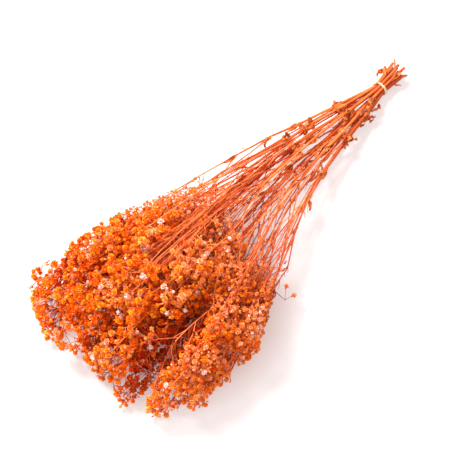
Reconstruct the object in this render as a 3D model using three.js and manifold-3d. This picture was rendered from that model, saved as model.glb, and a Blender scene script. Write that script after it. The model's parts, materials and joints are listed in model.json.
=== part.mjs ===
// A tied bunch of dried, dyed gypsophila (baby's breath), lying on a flat surface.
//
// Millimetres, +Z up. The bunch lies along X: the cut ends point to +X and the blooms to -X.
// Every stem is one grown piece, with its joints, curled leaves, branches, twigs and blooms fused
// into one solid. An elastic band holds the stems near their cut ends. The growth below works in
// plain distances from the tie, and the finished group is moved so that its origin is the middle of
// its box, on the surface that it lies on.

import * as THREE from "three";
import { mergeVertices } from "three/addons/utils/BufferGeometryUtils.js";
import Module from "manifold-3d";

const wasm = await Module();
wasm.setup();

const { Vector3 } = THREE;
const UP = new Vector3(0, 0, 1);
const DEGREE = Math.PI / 180;
const GOLDEN_ANGLE = 137.5 * DEGREE;

// ---------------------------------------------------------------- driving dimensions

const CUT_END = { longest: 37, spread: 12, splay: 0.02, droop: 0.003 }; // tie to the cut ends
const REACH = 440; // tie to the furthest bloom, seen from above
const HEAD_START = { middle: 242, perDegree: -1.3 }; // tie to the nearest bloom, over the fan
const HEAD_CREST = 320; // tie to the highest part of the head
const HEAD_HEIGHT = 97; // surface to the top of the head
const FAN = { left: 17.1, right: -16.6 }; // bearings of the fan's two edges from -X, in degrees
const NARROW = { share: 0.82, from: 215, left: 310, right: 335 }; // the edges where the head starts
// The head's front, as shares of REACH over bearings: a level, what stands out from it and what is cut
// back, each as a round hump or as a smooth step.
const FRONT = {
  level: 0.972,
  lobes: [
    { bearing: 9, width: 3.5, share: 0.024 },
    { bearing: -7.2, width: 1.5, share: 0.012 },
  ],
  notches: [
    { bearing: 3.6, width: 0.8, share: 0.03 },
    { bearing: -5.3, width: 0.9, share: 0.055 },
  ],
  corners: [
    { from: 12.5, to: 16.5, share: 0.02 },
    { from: -8, to: -12, share: 0.045 },
    { from: -12.6, to: -14.4, share: 0.1 },
    { from: -14.5, to: -17, share: 0.08 },
  ],
};
// The cleft between the two humps of the head: its bearing, how far that drifts over a stretch of the
// reach, its depth and width, and where it sets in.
const CLEFT = { bearing: -4.8, drift: 7.8, from: 345, to: 425, depth: 0.6, width: 2.2 };
const CLEFT_START = { from: 230, to: 300 };

const STEM_RADIUS = 1.5; // at the tie
const STEM_TIP_RADIUS = 0.6; // in the head
const TIE_RINGS = [
  { count: 4, radius: 2.36, turn: 45 }, // stems in the middle of the tie
  { count: 10, radius: 5.68, turn: 18 }, // stems round them
];
const CLEARANCE = 0.3; // between two pieces that touch in the real bunch
const PARALLEL = 4; // the stems run side by side this far each way from the tie

const BAND = { width: 2, thickness: 1.3, sides: 16 };
const BUNDLE_RADIUS = TIE_RINGS[1].radius + STEM_RADIUS;
const TIE_HEIGHT = BUNDLE_RADIUS + CLEARANCE + BAND.thickness; // middle of the bundle at the tie

// Where the stems' centre lines pass at a distance from the tie, and how far by chance from there.
const AIM = { distance: 340, halfWidth: 86, halfHeight: 24, shift: -3, height: 36, strayY: 6, strayZ: 3 };
const BOW = { middle: 11, towardsRight: 2, sooner: 0.2, late: 1.25 }; // the stems bow to the left
const STEM_END = { shortest: 392, longest: 434 }; // tie to a stem's last bloom
// Leaf joints along a stem, each kinked a little. The first few are swollen.
const JOINTS = { first: 46, firstSpread: 18, step: 40, spread: 7, kink: 0.015, most: 4 };
const SWOLLEN = { joints: 2, swell: 1.42, before: 5, after: 3.5 }; // and how far towards each neighbour
const BRANCH = { perStem: 6, firstJoint: 2, shortest: 60, longest: 190, leave: 26 * DEGREE, taper: 0.72 };
// How far a branch's tip lies from its stem's line, and how much of that sideways and upwards.
const BRANCH_SPREAD = { least: 15, range: 31, sideways: 1.15, upwards: 0.8 };
const TWIG = { rootRadius: 0.35, radius: 0.5, shortest: 15, longest: 25, leastAngle: 30, angleRange: 34 };
// How many twigs a limb carries, on which stretch of its length, as shares.
const ON_STEM = { twigs: 3, from: 0.66, stretch: 0.29 };
const ON_BRANCH = { twigs: 3, from: 0.45, stretch: 0.47 };
// A bloom is larger than life. Its depths are shares of its radius, from the end of its stalk's line.
const BLOOM = { smallest: 5.5, largest: 7.2, petals: 5, rim: 0.3, heart: 0, neck: -0.75, room: 1.05 };
const LEAF = { joints: 4, share: 0.72, shortest: 11, longest: 21, width: 5, thickness: 0.7 };
const LEAF_POSE = { leastAngle: 16, angleRange: 32, curlBack: -0.3, curlOut: 0.5, twist: 50 };
const LEAF_STEPS = [0, 0.34, 0.7, 1]; // along a leaf's line
const LEAF_WIDTHS = [0.45, 1, 0.8]; // at those steps, before its tip
const BRANCH_SPANS = 3;
const FORK = 9; // limbs of one stem that start this close together grow from the same joint
const TRIALS = { branch: 60, twig: 44, leaf: 30 }; // places that are tried before the best is taken
const CUT_END_LEAVES = [
  // what is left of the lowest leaves, which point away from the stem
  { stem: 6, distance: -26, length: 15, halfWidth: 1.1, lean: [0.25, 0.42, 0.87] }, // a dry shoot
  { stem: 5, distance: -13, length: 11, halfWidth: 2.2, lean: [0.45, 0.56, 0.72] },
  { stem: 8, distance: -25, length: 10, halfWidth: 2, lean: [0.55, -0.7, 0.45] },
  { stem: 9, distance: -15, length: 9, halfWidth: 1.9, lean: [0.6, -0.78, -0.12] },
];
const SLIVER = 0.06; // edges shorter than this are closed up

// ---------------------------------------------------------------- repeatable draws

/** A repeatable draw from 0 to 1 for one place in the bunch, which whole numbers name. */
function draw(...place) {
  let h = 0x9e3779b9;
  for (const n of place) {
    h = Math.imul(h ^ (n + 0x7f4a7c15), 0x85ebca6b);
    h ^= h >>> 13;
    h = Math.imul(h, 0xc2b2ae35);
    h ^= h >>> 16;
  }
  return (h >>> 0) / 4294967296;
}

/** The same draw, spread evenly from low to high. */
const between = (low, high, ...place) => low + (high - low) * draw(...place);

const KINK = 1;
const BRANCH_TIP = 2;
const TWIG_TURN = 3;
const LEAF_TURN = 4;
const CUT = 5;
const AIM_SHIFT = 6;
const BLOOM_SIZE = 7;

// ---------------------------------------------------------------- the flower head's outline

const smooth = (low, high, x) => {
  const t = Math.min(1, Math.max(0, (x - low) / (high - low)));
  return t * t * (3 - 2 * t);
};
const bump = (x, middle, width) => Math.exp(-(((x - middle) / width) ** 2));
const totalOf = (list, value) => list.reduce((whole, one) => whole + value(one), 0);

/** How far the head reaches from the tie on a bearing: a lobed front, cut back at both edges. */
function reachOn(bearing) {
  const humps = (list) => totalOf(list, (hump) => hump.share * bump(bearing, hump.bearing, hump.width));
  const corners = totalOf(FRONT.corners, ({ from, to, share }) => share * smooth(from, to, bearing));
  return REACH * (FRONT.level + humps(FRONT.lobes) - humps(FRONT.notches) - corners);
}

/** How far from the tie the head starts on a bearing: sooner on the left. */
const startOn = (bearing) => HEAD_START.middle + HEAD_START.perDegree * bearing;

/** Height of the head's upper surface: a wide hump, a cleft and a lower hump beside it. */
function topOn(bearing, reach) {
  const rise = TIE_HEIGHT + (HEAD_HEIGHT - TIE_HEIGHT) * Math.min(1, reach / HEAD_CREST);
  const nose = Math.max(0, reach - HEAD_CREST) / (reachOn(bearing) - HEAD_CREST);
  const side = Math.min(1, Math.abs(bearing + 1) / 19);
  const middle = CLEFT.bearing + CLEFT.drift * smooth(CLEFT.from, CLEFT.to, reach);
  const start = smooth(CLEFT_START.from, CLEFT_START.to, reach);
  const cleft = CLEFT.depth * bump(bearing, middle, CLEFT.width) * start;
  const lowHump = 1 - 0.18 * smooth(-3, -8, bearing);
  const droop = Math.sqrt(Math.max(0, 1 - 0.75 * nose ** 2)) * Math.sqrt(1 - 0.95 * side ** 3);
  return rise * lowHump * (1 - cleft) * droop;
}

const bearingOf = (p) => Math.atan2(p.y, -p.x) / DEGREE;
const reachOf = (p) => Math.hypot(p.x, p.y);

/** Whether a point lies between the fan's edges, which widen towards the head. */
function inFan(p) {
  const wide = (full) => NARROW.share + (1 - NARROW.share) * smooth(NARROW.from, full, reachOf(p));
  return bearingOf(p) < FAN.left * wide(NARROW.left) && bearingOf(p) > FAN.right * wide(NARROW.right);
}

/** Whether a bloom of this radius at p lies in the head, on or over the surface. */
function inHead(p, radius) {
  const [bearing, reach] = [bearingOf(p), reachOf(p)];
  if (!inFan(p) || reach < startOn(bearing) || reach > reachOn(bearing) - radius * 0.8) return false;
  return p.z > radius * 0.8 && p.z < topOn(bearing, reach) - radius * 0.6;
}

// ---------------------------------------------------------------- room between the pieces

/** Shortest distance between the segments a-b and c-d; c and d may be one point. */
function segmentDistance(a, b, c, d) {
  const ab = b.clone().sub(a);
  const cd = d.clone().sub(c);
  const ca = a.clone().sub(c);
  const e = ab.lengthSq();
  const f = cd.lengthSq();
  const g = ab.dot(cd);
  const h = ab.dot(ca);
  const k = cd.dot(ca);
  const span = e * f - g * g;
  const clamp = (x) => Math.min(1, Math.max(0, x));
  let s = span > 1e-9 ? clamp((g * k - h * f) / span) : 0;
  const t = f > 1e-9 ? clamp((g * s + k) / f) : 0;
  s = clamp((g * t - h) / e);
  return ca.addScaledVector(ab, s).addScaledVector(cd, -t).length();
}

/** Everything that has grown so far, and the room that it takes. */
class Bunch {
  limbs = []; // { stem, points, radii, sides, bloom }
  leaves = []; // { stem, line, across, halfWidth, twist }
  blooms = []; // { centre, radius }
  rods = []; // { stem, limb, root, a, b, radius }: a limb's segments, for the room that they take

  /** Whether the line through points, of this radius, stays clear of all but its own parent limb. */
  isClear(stem, parent, points, radius) {
    for (let i = 0; i + 1 < points.length; i++) {
      const [a, b] = [points[i], points[i + 1]];
      if (Math.min(a.z, b.z) < radius + CLEARANCE) return false;
      for (const rod of this.rods) {
        if (rod.limb === parent) continue;
        if (rod.stem === stem && rod.root.distanceTo(points[0]) < FORK) continue;
        if (segmentDistance(a, b, rod.a, rod.b) < radius + rod.radius + CLEARANCE) return false;
      }
      for (const other of this.blooms) {
        const room = radius + other.radius * BLOOM.room + CLEARANCE;
        if (segmentDistance(a, b, other.centre, other.centre) < room) return false;
      }
    }
    return true;
  }

  /** Whether a bloom at centre stays clear of everything but the limb that carries it. */
  hasRoom(parent, centre, radius) {
    const near = radius * BLOOM.room + CLEARANCE;
    return (
      this.rods.every(
        ({ limb, a, b, radius: thick }) =>
          limb === parent || segmentDistance(a, b, centre, centre) > near + thick,
      ) && this.blooms.every((other) => other.centre.distanceTo(centre) > near + other.radius * BLOOM.room)
    );
  }

  /** Keeps the room of a line, whose radius may differ from point to point. */
  keepRoom(stem, limb, points, radii) {
    for (let i = 0; i + 1 < points.length; i++) {
      const radius = Math.max(radii[i], radii[i + 1]);
      this.rods.push({ stem, limb, root: points[0], a: points[i], b: points[i + 1], radius });
    }
  }

  /** Adds a limb that ends in a bloom, and returns its number. */
  addLimb(limb) {
    const id = this.limbs.push(limb) - 1;
    this.keepRoom(limb.stem, id, limb.points, limb.radii);
    this.blooms.push(limb.bloom);
    return id;
  }

  /** The distance from p to the nearest bloom: the more, the emptier the place. */
  emptiness(p) {
    return Math.min(200, ...this.blooms.map((other) => other.centre.distanceTo(p)));
  }
}

// ---------------------------------------------------------------- growth

/** Where each stem passes through the tie: y and z from the bundle's middle. */
const stems = TIE_RINGS.flatMap(({ count, radius, turn }) =>
  Array.from({ length: count }, (_, i) => {
    const angle = (turn + (360 * i) / count) * DEGREE;
    return { y: radius * Math.cos(angle), z: radius * Math.sin(angle) };
  }),
);

/** A stem's radius at a distance from the tie. */
const stemRadius = (distance) =>
  THREE.MathUtils.lerp(STEM_RADIUS, STEM_TIP_RADIUS, smooth(20, 250, distance));

/** The radius of the bloom at a limb's end. */
const bloomRadius = (...place) => between(BLOOM.smallest, BLOOM.largest, BLOOM_SIZE, ...place);

/** A point of a stem's centre line, at a distance from the tie: minus towards the cut end. */
function stemPoint(stem, distance) {
  const { y, z } = stems[stem];
  const widest = TIE_RINGS[1].radius;
  if (distance <= PARALLEL) {
    const past = Math.max(0, -distance - PARALLEL);
    const [across, up] = [1 + past * CUT_END.splay, 1 + past * CUT_END.droop];
    return new Vector3(-distance, y * across, TIE_HEIGHT + z * up);
  }
  const strayY = between(-AIM.strayY, AIM.strayY, AIM_SHIFT, stem, 0);
  const strayZ = between(-AIM.strayZ, AIM.strayZ, AIM_SHIFT, stem, 1);
  const aimY = AIM.shift + (y / widest) * AIM.halfWidth + strayY;
  const aimZ = AIM.height + (z / widest) * AIM.halfHeight + strayZ;
  const u = (distance - PARALLEL) / (AIM.distance - PARALLEL);
  const arch = u * (1.22 - 0.22 * u * u); // stiff at the tie, drooping at the head
  const side = y / widest;
  const stage = Math.min(1, u * (1 + BOW.sooner * (1 - side))) ** BOW.late;
  const bow = (BOW.middle - BOW.towardsRight * side) * Math.sin(Math.PI * stage);
  return new Vector3(-distance, y + (aimY - y) * u + bow, TIE_HEIGHT + z + (aimZ - TIE_HEIGHT - z) * arch);
}

/** The joints of a stem, each a little off its straight line, and its far end. */
function jointsOf(stem) {
  const bearing = bearingOf(stemPoint(stem, STEM_END.shortest));
  const furthest = reachOn(bearing) - 1.5 * BLOOM.largest;
  const end = Math.min(furthest, between(STEM_END.shortest, STEM_END.longest, KINK, stem, 99));
  const first = JOINTS.first + between(-JOINTS.firstSpread, JOINTS.firstSpread, KINK, stem, 98);
  const joints = [];
  for (let k = 0; ; k++) {
    const distance = first + JOINTS.step * k + between(-JOINTS.spread, JOINTS.spread, KINK, stem, k);
    if (distance > end - 2 * BLOOM.largest) break;
    const kink = Math.min(JOINTS.kink * distance, JOINTS.most);
    const point = stemPoint(stem, distance);
    point.y += between(-kink, kink, KINK, stem, k, 1);
    point.z += between(-kink, kink, KINK, stem, k, 2);
    point.z = Math.max(point.z, stemRadius(distance) * SWOLLEN.swell + 1); // over the surface
    joints.push({ distance, point });
  }
  return { joints, tip: stemPoint(stem, end) };
}

/** Any unit vector square to axis, turned round it by an angle. */
function square(axis, angle) {
  const side = new Vector3().crossVectors(axis, UP).normalize();
  return side.applyAxisAngle(axis, angle);
}

/** The main line of a stem, from its cut end to its last bloom. */
function growStem(bunch, stem) {
  const { joints, tip } = jointsOf(stem);
  const cut = -CUT_END.longest + between(0, CUT_END.spread, CUT, stem);
  const points = [stemPoint(stem, cut), stemPoint(stem, -PARALLEL), stemPoint(stem, PARALLEL)];
  const radii = [STEM_RADIUS, STEM_RADIUS, STEM_RADIUS];
  for (const [k, { distance, point }] of joints.entries()) {
    const radius = stemRadius(distance);
    if (k >= SWOLLEN.joints) {
      points.push(point);
      radii.push(radius);
      continue;
    }
    const before = points.at(-1);
    const after = joints[k + 1].point;
    points.push(point.clone().lerp(before, SWOLLEN.before / point.distanceTo(before)));
    points.push(point, point.clone().lerp(after, SWOLLEN.after / point.distanceTo(after)));
    radii.push(radius, radius * SWOLLEN.swell, radius);
  }
  points.push(tip);
  radii.push(STEM_TIP_RADIUS);
  const bloom = { centre: tip, radius: bloomRadius(stem) };
  const id = bunch.addLimb({ stem, points, radii, sides: 4, bloom });
  return { stem, id, joints, tip };
}

/** The point and direction at a share of a limb's length. */
function along(points, share) {
  const lengths = points.slice(1).map((p, i) => p.distanceTo(points[i]));
  let left = share * lengths.reduce((sum, length) => sum + length, 0);
  let i = 0;
  while (i < lengths.length - 1 && left > lengths[i]) left -= lengths[i++];
  const point = points[i].clone().lerp(points[i + 1], Math.min(1, left / lengths[i]));
  return { point, direction: points[i + 1].clone().sub(points[i]).normalize() };
}

/** A branch's line: it leaves its joint at a wide angle and bends back along the stem. */
function branchLine(root, direction, tip) {
  const chord = tip.clone().sub(root);
  const length = chord.length();
  const outward = chord.addScaledVector(direction, -chord.dot(direction)).normalize();
  const leave = direction.clone().multiplyScalar(Math.cos(BRANCH.leave));
  leave.addScaledVector(outward, Math.sin(BRANCH.leave));
  const bend = root.clone().addScaledVector(leave, length * 0.45);
  return new THREE.QuadraticBezierCurve3(root, bend, tip).getPoints(BRANCH_SPANS);
}

/** A branch from one joint, to the emptiest place in the head that it can reach. */
function growBranch(bunch, grown, number) {
  const { stem, id, joints, tip: stemTip } = grown;
  const at = BRANCH.firstJoint + number;
  if (at >= joints.length) return null;
  const joint = joints[at];
  const next = joints[at + 1]?.point ?? stemTip;
  const direction = next.clone().sub(joint.point).normalize();
  const size = bloomRadius(stem, number);
  let best = null;
  const start = startOn(bearingOf(stemPoint(stem, HEAD_START.middle)));
  const nearest = Math.max(start + 2 * BLOOM.largest, joint.distance + BRANCH.shortest);
  const furthest = Math.min(STEM_END.longest, joint.distance + BRANCH.longest);
  for (let trial = 0; trial < TRIALS.branch; trial++) {
    const roll = (place) => draw(BRANCH_TIP, stem, number, trial, place);
    const distance = nearest + (furthest - nearest) * roll(0);
    const tip = stemPoint(stem, distance);
    const spread = BRANCH_SPREAD.least + BRANCH_SPREAD.range * roll(1);
    const turn = number * GOLDEN_ANGLE + 2 * Math.PI * roll(2);
    tip.y += spread * BRANCH_SPREAD.sideways * Math.cos(turn);
    tip.z += spread * BRANCH_SPREAD.upwards * Math.sin(turn);
    if (!inHead(tip, size)) continue;
    const score = bunch.emptiness(tip);
    if (best && score <= best.score) continue;
    const points = branchLine(joint.point, direction, tip);
    if (!points.slice(1).every(inFan)) continue;
    const radius = stemRadius(joint.distance) * BRANCH.taper;
    if (!bunch.isClear(stem, id, points, radius)) continue;
    if (!bunch.hasRoom(id, tip, size)) continue;
    best = { score, tip, points, radius };
  }
  if (!best) return null;
  const { points, radius, tip } = best;
  const radii = points.map((_, i) => THREE.MathUtils.lerp(radius, TWIG.radius, i / (points.length - 1)));
  const bloom = { centre: tip, radius: size };
  return { stem, id: bunch.addLimb({ stem, points, radii, sides: 4, bloom }) };
}

/** A straight twig with a bloom, at a share of its limb's length, into the emptiest place. */
function growTwig(bunch, stem, parent, number, share) {
  const { point, direction } = along(bunch.limbs[parent].points, share);
  const size = bloomRadius(parent, number, 1);
  let best = null;
  for (let trial = 0; trial < TRIALS.twig; trial++) {
    const roll = (place) => draw(TWIG_TURN, parent, number, trial, place);
    const angle = (TWIG.leastAngle + TWIG.angleRange * roll(0)) * DEGREE;
    const length = TWIG.shortest + (TWIG.longest - TWIG.shortest) * roll(1);
    const lean = square(direction, 2 * Math.PI * roll(2)).multiplyScalar(Math.sin(angle));
    lean.addScaledVector(direction, Math.cos(angle));
    const centre = point.clone().addScaledVector(lean, length);
    if (!inHead(centre, size)) continue;
    const score = bunch.emptiness(centre);
    if (best && score <= best.score) continue;
    if (!bunch.isClear(stem, parent, [point, centre], TWIG.radius)) continue;
    if (!bunch.hasRoom(parent, centre, size)) continue;
    best = { score, centre };
  }
  if (!best) return;
  const points = [point, best.centre];
  const bloom = { centre: best.centre, radius: size };
  bunch.addLimb({ stem, points, radii: [TWIG.rootRadius, TWIG.radius], sides: 3, bloom });
}

/** A dried leaf at a joint: a narrow blade that curls away from the stem and twists. */
function growLeaf(bunch, grown, number) {
  const { stem, id, joints } = grown;
  if (draw(LEAF_TURN, stem, number, LEAF.joints) > LEAF.share) return; // it has fallen off
  const { point } = joints[number];
  const direction = joints[number + 1].point.clone().sub(point).normalize();
  for (let trial = 0; trial < TRIALS.leaf; trial++) {
    const roll = (place) => draw(LEAF_TURN, stem, number, trial, place);
    const angle = (LEAF_POSE.leastAngle + LEAF_POSE.angleRange * roll(0)) * DEGREE;
    const length = LEAF.shortest + (LEAF.longest - LEAF.shortest) * roll(1);
    const outward = square(direction, 2 * Math.PI * roll(2));
    const lean = direction.clone().multiplyScalar(Math.cos(angle));
    lean.addScaledVector(outward, Math.sin(angle));
    const curl = between(LEAF_POSE.curlBack, LEAF_POSE.curlOut, LEAF_TURN, stem, number, trial, 3);
    const line = LEAF_STEPS.map((t) =>
      point
        .clone()
        .addScaledVector(lean, length * t)
        .addScaledVector(outward, -curl * length * t * t),
    );
    const halfWidth = (LEAF.width / 2) * (0.8 + 0.3 * roll(4));
    if (!bunch.isClear(stem, id, line.slice(1), halfWidth)) continue;
    const across = new Vector3().crossVectors(lean, outward).normalize();
    const turn = LEAF_POSE.twist * DEGREE;
    const twist = between(-turn, turn, LEAF_TURN, stem, number, trial, 5);
    bunch.keepRoom(stem, null, line, line.map(() => halfWidth));
    bunch.leaves.push({ stem, line, across, halfWidth, twist });
    return;
  }
}

/** What is left of a leaf near a stem's cut end. The stem is the limb of the same number. */
function growCutEndLeaf(bunch, { stem, distance, length, halfWidth, lean }) {
  const root = stemPoint(stem, distance);
  const direction = new Vector3(...lean).normalize();
  const line = LEAF_STEPS.map((t) => root.clone().addScaledVector(direction, length * t));
  line.at(-1).addScaledVector(UP, -0.12 * length); // the dry tip curls down
  if (!bunch.isClear(stem, stem, line.slice(1), halfWidth)) return;
  bunch.keepRoom(stem, null, line, line.map(() => halfWidth));
  const across = new Vector3(1, 0, 0).cross(direction).normalize();
  bunch.leaves.push({ stem, line, across, halfWidth, twist: 35 * DEGREE });
}

/** Twigs along each of these limbs, spread evenly over a stretch of its length. */
function growTwigs(bunch, limbs, { twigs, from, stretch }) {
  for (let number = 0; number < twigs; number++) {
    const share = from + (stretch * (number + 0.5)) / twigs;
    for (const { stem, id } of limbs) growTwig(bunch, stem, id, number, share);
  }
}

/** Grows the whole bunch, one rank at a time, so that every stem gets its share of the room. */
function growBunch() {
  const bunch = new Bunch();
  const grown = stems.map((_, stem) => growStem(bunch, stem));
  for (let number = 0; number < LEAF.joints; number++) {
    for (const stem of grown) growLeaf(bunch, stem, number);
  }
  for (const leaf of CUT_END_LEAVES) growCutEndLeaf(bunch, leaf);
  const branches = [];
  for (let number = BRANCH.perStem - 1; number >= 0; number--) {
    for (const stem of grown) {
      const branch = growBranch(bunch, stem, number);
      if (branch) branches.push(branch);
    }
  }
  growTwigs(bunch, grown, ON_STEM);
  growTwigs(bunch, branches, ON_BRANCH);
  return bunch;
}

// ---------------------------------------------------------------- meshes

/** A closed mesh of numbered corners and triangles, as a solid. */
function solidOf(corners, triangles) {
  const geometry = new THREE.BufferGeometry().setFromPoints(corners);
  geometry.setIndex(triangles);
  const merged = mergeVertices(geometry, 1e-5);
  return new wasm.Manifold(
    new wasm.Mesh({
      numProp: 3,
      vertProperties: merged.attributes.position.array,
      triVerts: new Uint32Array(merged.index.array),
    }),
  );
}

/** Joins two rings of corners, which may differ in number, with triangles that face outwards. */
function stitch(triangles, from, to) {
  let i = 0;
  let j = 0;
  while (i < from.length || j < to.length) {
    const nextFrom = from[(i + 1) % from.length];
    const nextTo = to[(j + 1) % to.length];
    const step = (i + 1) / from.length <= (j + 1) / to.length && i < from.length;
    if (step || j >= to.length) {
      triangles.push(from[i % from.length], nextFrom, to[j % to.length]);
      i++;
    } else {
      triangles.push(from[i % from.length], nextTo, to[j % to.length]);
      j++;
    }
  }
}

/** A limb as one closed skin of few sides, which opens into the bloom at its end. */
function limbSolid({ points, radii, sides, bloom }) {
  const corners = [];
  const triangles = [];
  let normal = null;
  const ring = (centre, direction, radius, count) => {
    normal ??= square(direction, 0.3);
    normal = normal.clone().addScaledVector(direction, -normal.dot(direction)).normalize();
    const binormal = new Vector3().crossVectors(direction, normal);
    return Array.from({ length: count }, (_, i) => {
      const angle = (2 * Math.PI * i) / count;
      const corner = centre.clone().addScaledVector(normal, radius * Math.cos(angle));
      return corners.push(corner.addScaledVector(binormal, radius * Math.sin(angle))) - 1;
    });
  };
  const last = points.length - 1;
  const facing = points[last].clone().sub(points[last - 1]).normalize();
  const ahead = (share) => points[last].clone().addScaledVector(facing, share * bloom.radius);
  const rings = points.map((point, i) => {
    const direction = points[Math.min(last, i + 1)].clone().sub(points[Math.max(0, i - 1)]).normalize();
    return ring(i === last ? ahead(BLOOM.neck) : point, direction, radii[i], sides);
  });
  rings.push(ring(ahead(BLOOM.rim), facing, bloom.radius, BLOOM.petals));
  for (let i = 0; i + 1 < rings.length; i++) stitch(triangles, rings[i], rings[i + 1]);
  for (let i = 1; i + 1 < sides; i++) triangles.push(rings[0][0], rings[0][i + 1], rings[0][i]);
  const heart = corners.push(ahead(BLOOM.heart)) - 1;
  const rim = rings.at(-1);
  rim.forEach((corner, i) => triangles.push(corner, rim[(i + 1) % rim.length], heart));
  return solidOf(corners, triangles);
}

/** A leaf as a closed blade, whose two faces are split into triangles alike. */
function leafSolid({ line, across, halfWidth, twist }) {
  const corners = [];
  const triangles = [];
  const rings = LEAF_WIDTHS.map((share, i) => {
    const direction = line[i + 1].clone().sub(line[i]).normalize();
    const side = across.clone().applyAxisAngle(direction, (twist * i) / LEAF_WIDTHS.length);
    const up = new Vector3().crossVectors(side, direction).multiplyScalar(LEAF.thickness / 2);
    side.multiplyScalar(halfWidth * share);
    return [
      line[i].clone().sub(side).add(up),
      line[i].clone().add(side).add(up),
      line[i].clone().add(side).sub(up),
      line[i].clone().sub(side).sub(up),
    ].map((corner) => corners.push(corner) - 1);
  });
  for (let i = 0; i + 1 < rings.length; i++) {
    const [a, b, c, d] = rings[i];
    const [e, f, g, h] = rings[i + 1];
    triangles.push(a, b, f, a, f, e); // upper face
    triangles.push(c, d, g, d, h, g); // lower face, split alike
    triangles.push(b, c, g, b, g, f);
    triangles.push(d, a, e, d, e, h);
  }
  const tip = corners.push(line.at(-1).clone()) - 1;
  const [a, b, c, d] = rings.at(-1);
  triangles.push(a, b, tip, b, c, tip, c, d, tip, d, a, tip);
  const [p, q, r, s] = rings[0];
  triangles.push(p, r, q, p, s, r);
  return solidOf(corners, triangles);
}

/** A slab under the surface, which presses a flat spot on the lowest blooms. */
function underSurface() {
  const box = new THREE.BoxGeometry(3 * REACH, 3 * REACH, HEAD_HEIGHT).translate(0, 0, -HEAD_HEIGHT / 2);
  const { position } = box.attributes;
  const corners = Array.from({ length: position.count }, (_, i) =>
    new Vector3().fromBufferAttribute(position, i),
  );
  return solidOf(corners, Array.from(box.index.array));
}

/** A solid's faces as a geometry that three.js can draw. */
function geometryOf(solid) {
  const { vertProperties, triVerts, numProp } = solid.getMesh();
  const positions = [];
  for (let i = 0; i < vertProperties.length; i += numProp) {
    positions.push(vertProperties[i], vertProperties[i + 1], vertProperties[i + 2]);
  }
  const geometry = new THREE.BufferGeometry();
  geometry.setAttribute("position", new THREE.Float32BufferAttribute(positions, 3));
  geometry.setIndex(Array.from(triVerts));
  const faceted = geometry.toNonIndexed();
  faceted.computeVertexNormals();
  return faceted;
}

// ---------------------------------------------------------------- the pieces

const dyedStem = new THREE.MeshStandardMaterial({ color: 0xe8622f, roughness: 0.7, metalness: 0 });
const creamRubber = new THREE.MeshStandardMaterial({ color: 0xf4dfb8, roughness: 0.55, metalness: 0 });

/** One stem with all that grows on it, fused and pressed flat where it meets the surface. */
function stemMesh(bunch, stem, surface) {
  const own = [
    ...bunch.limbs.filter((limb) => limb.stem === stem).map(limbSolid),
    ...bunch.leaves.filter((leaf) => leaf.stem === stem).map(leafSolid),
  ];
  const whole = own.reduce((sum, solid) => sum.add(solid)).subtract(surface).simplify(SLIVER);
  const [largest] = whole.decompose().sort((a, b) => b.volume() - a.volume()); // no loose scrap
  const mesh = new THREE.Mesh(geometryOf(largest), dyedStem);
  mesh.name = `gypsophila_stem_${String(stem + 1).padStart(2, "0")}`;
  return mesh;
}

/** The elastic band: a ring of flat sides round the bundle, with one flat side at the bottom. */
function bandMesh() {
  const halfSide = Math.PI / BAND.sides;
  const corner = (apothem, i) => {
    const angle = (2 * i + 1) * halfSide;
    const radius = apothem / Math.cos(halfSide);
    return new THREE.Vector2(radius * Math.cos(angle), radius * Math.sin(angle));
  };
  const outline = (apothem) => Array.from({ length: BAND.sides }, (_, i) => corner(apothem, i));
  const shape = new THREE.Shape(outline(TIE_HEIGHT));
  shape.holes.push(new THREE.Path(outline(BUNDLE_RADIUS + CLEARANCE)));
  const ring = new THREE.ExtrudeGeometry(shape, { depth: BAND.width, bevelEnabled: false });
  ring.translate(0, 0, -BAND.width / 2).rotateY(Math.PI / 2);
  const mesh = new THREE.Mesh(ring, creamRubber);
  mesh.position.z = TIE_HEIGHT;
  mesh.name = "elastic_band";
  return mesh;
}

const bunch = growBunch();
const surface = underSurface();
const group = new THREE.Group();
group.name = "gypsophila_bunch";
stems.forEach((_, stem) => group.add(stemMesh(bunch, stem, surface)));
group.add(bandMesh());

group.updateMatrixWorld(true);
const middle = new THREE.Box3().setFromObject(group, true).getCenter(new Vector3());
group.position.set(-middle.x, -middle.y, 0);

export default group;
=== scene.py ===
"""A tied bunch of dried, dyed gypsophila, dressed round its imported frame.

The stems, branches, twigs and leaves grow here by the same rule as in the solids, so every fine piece
lies where its node is. Growth is worked out in millimetres from the tie: X grows towards the cut
ends, the surface is at Z = 0. Meshes are written in metres in the frame's own place.
"""

import json
import logging
import math
from dataclasses import dataclass, field
from enum import Enum
from functools import cache

import bmesh
import bpy
import numpy as np
from mathutils import Matrix, Quaternion, Vector

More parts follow.
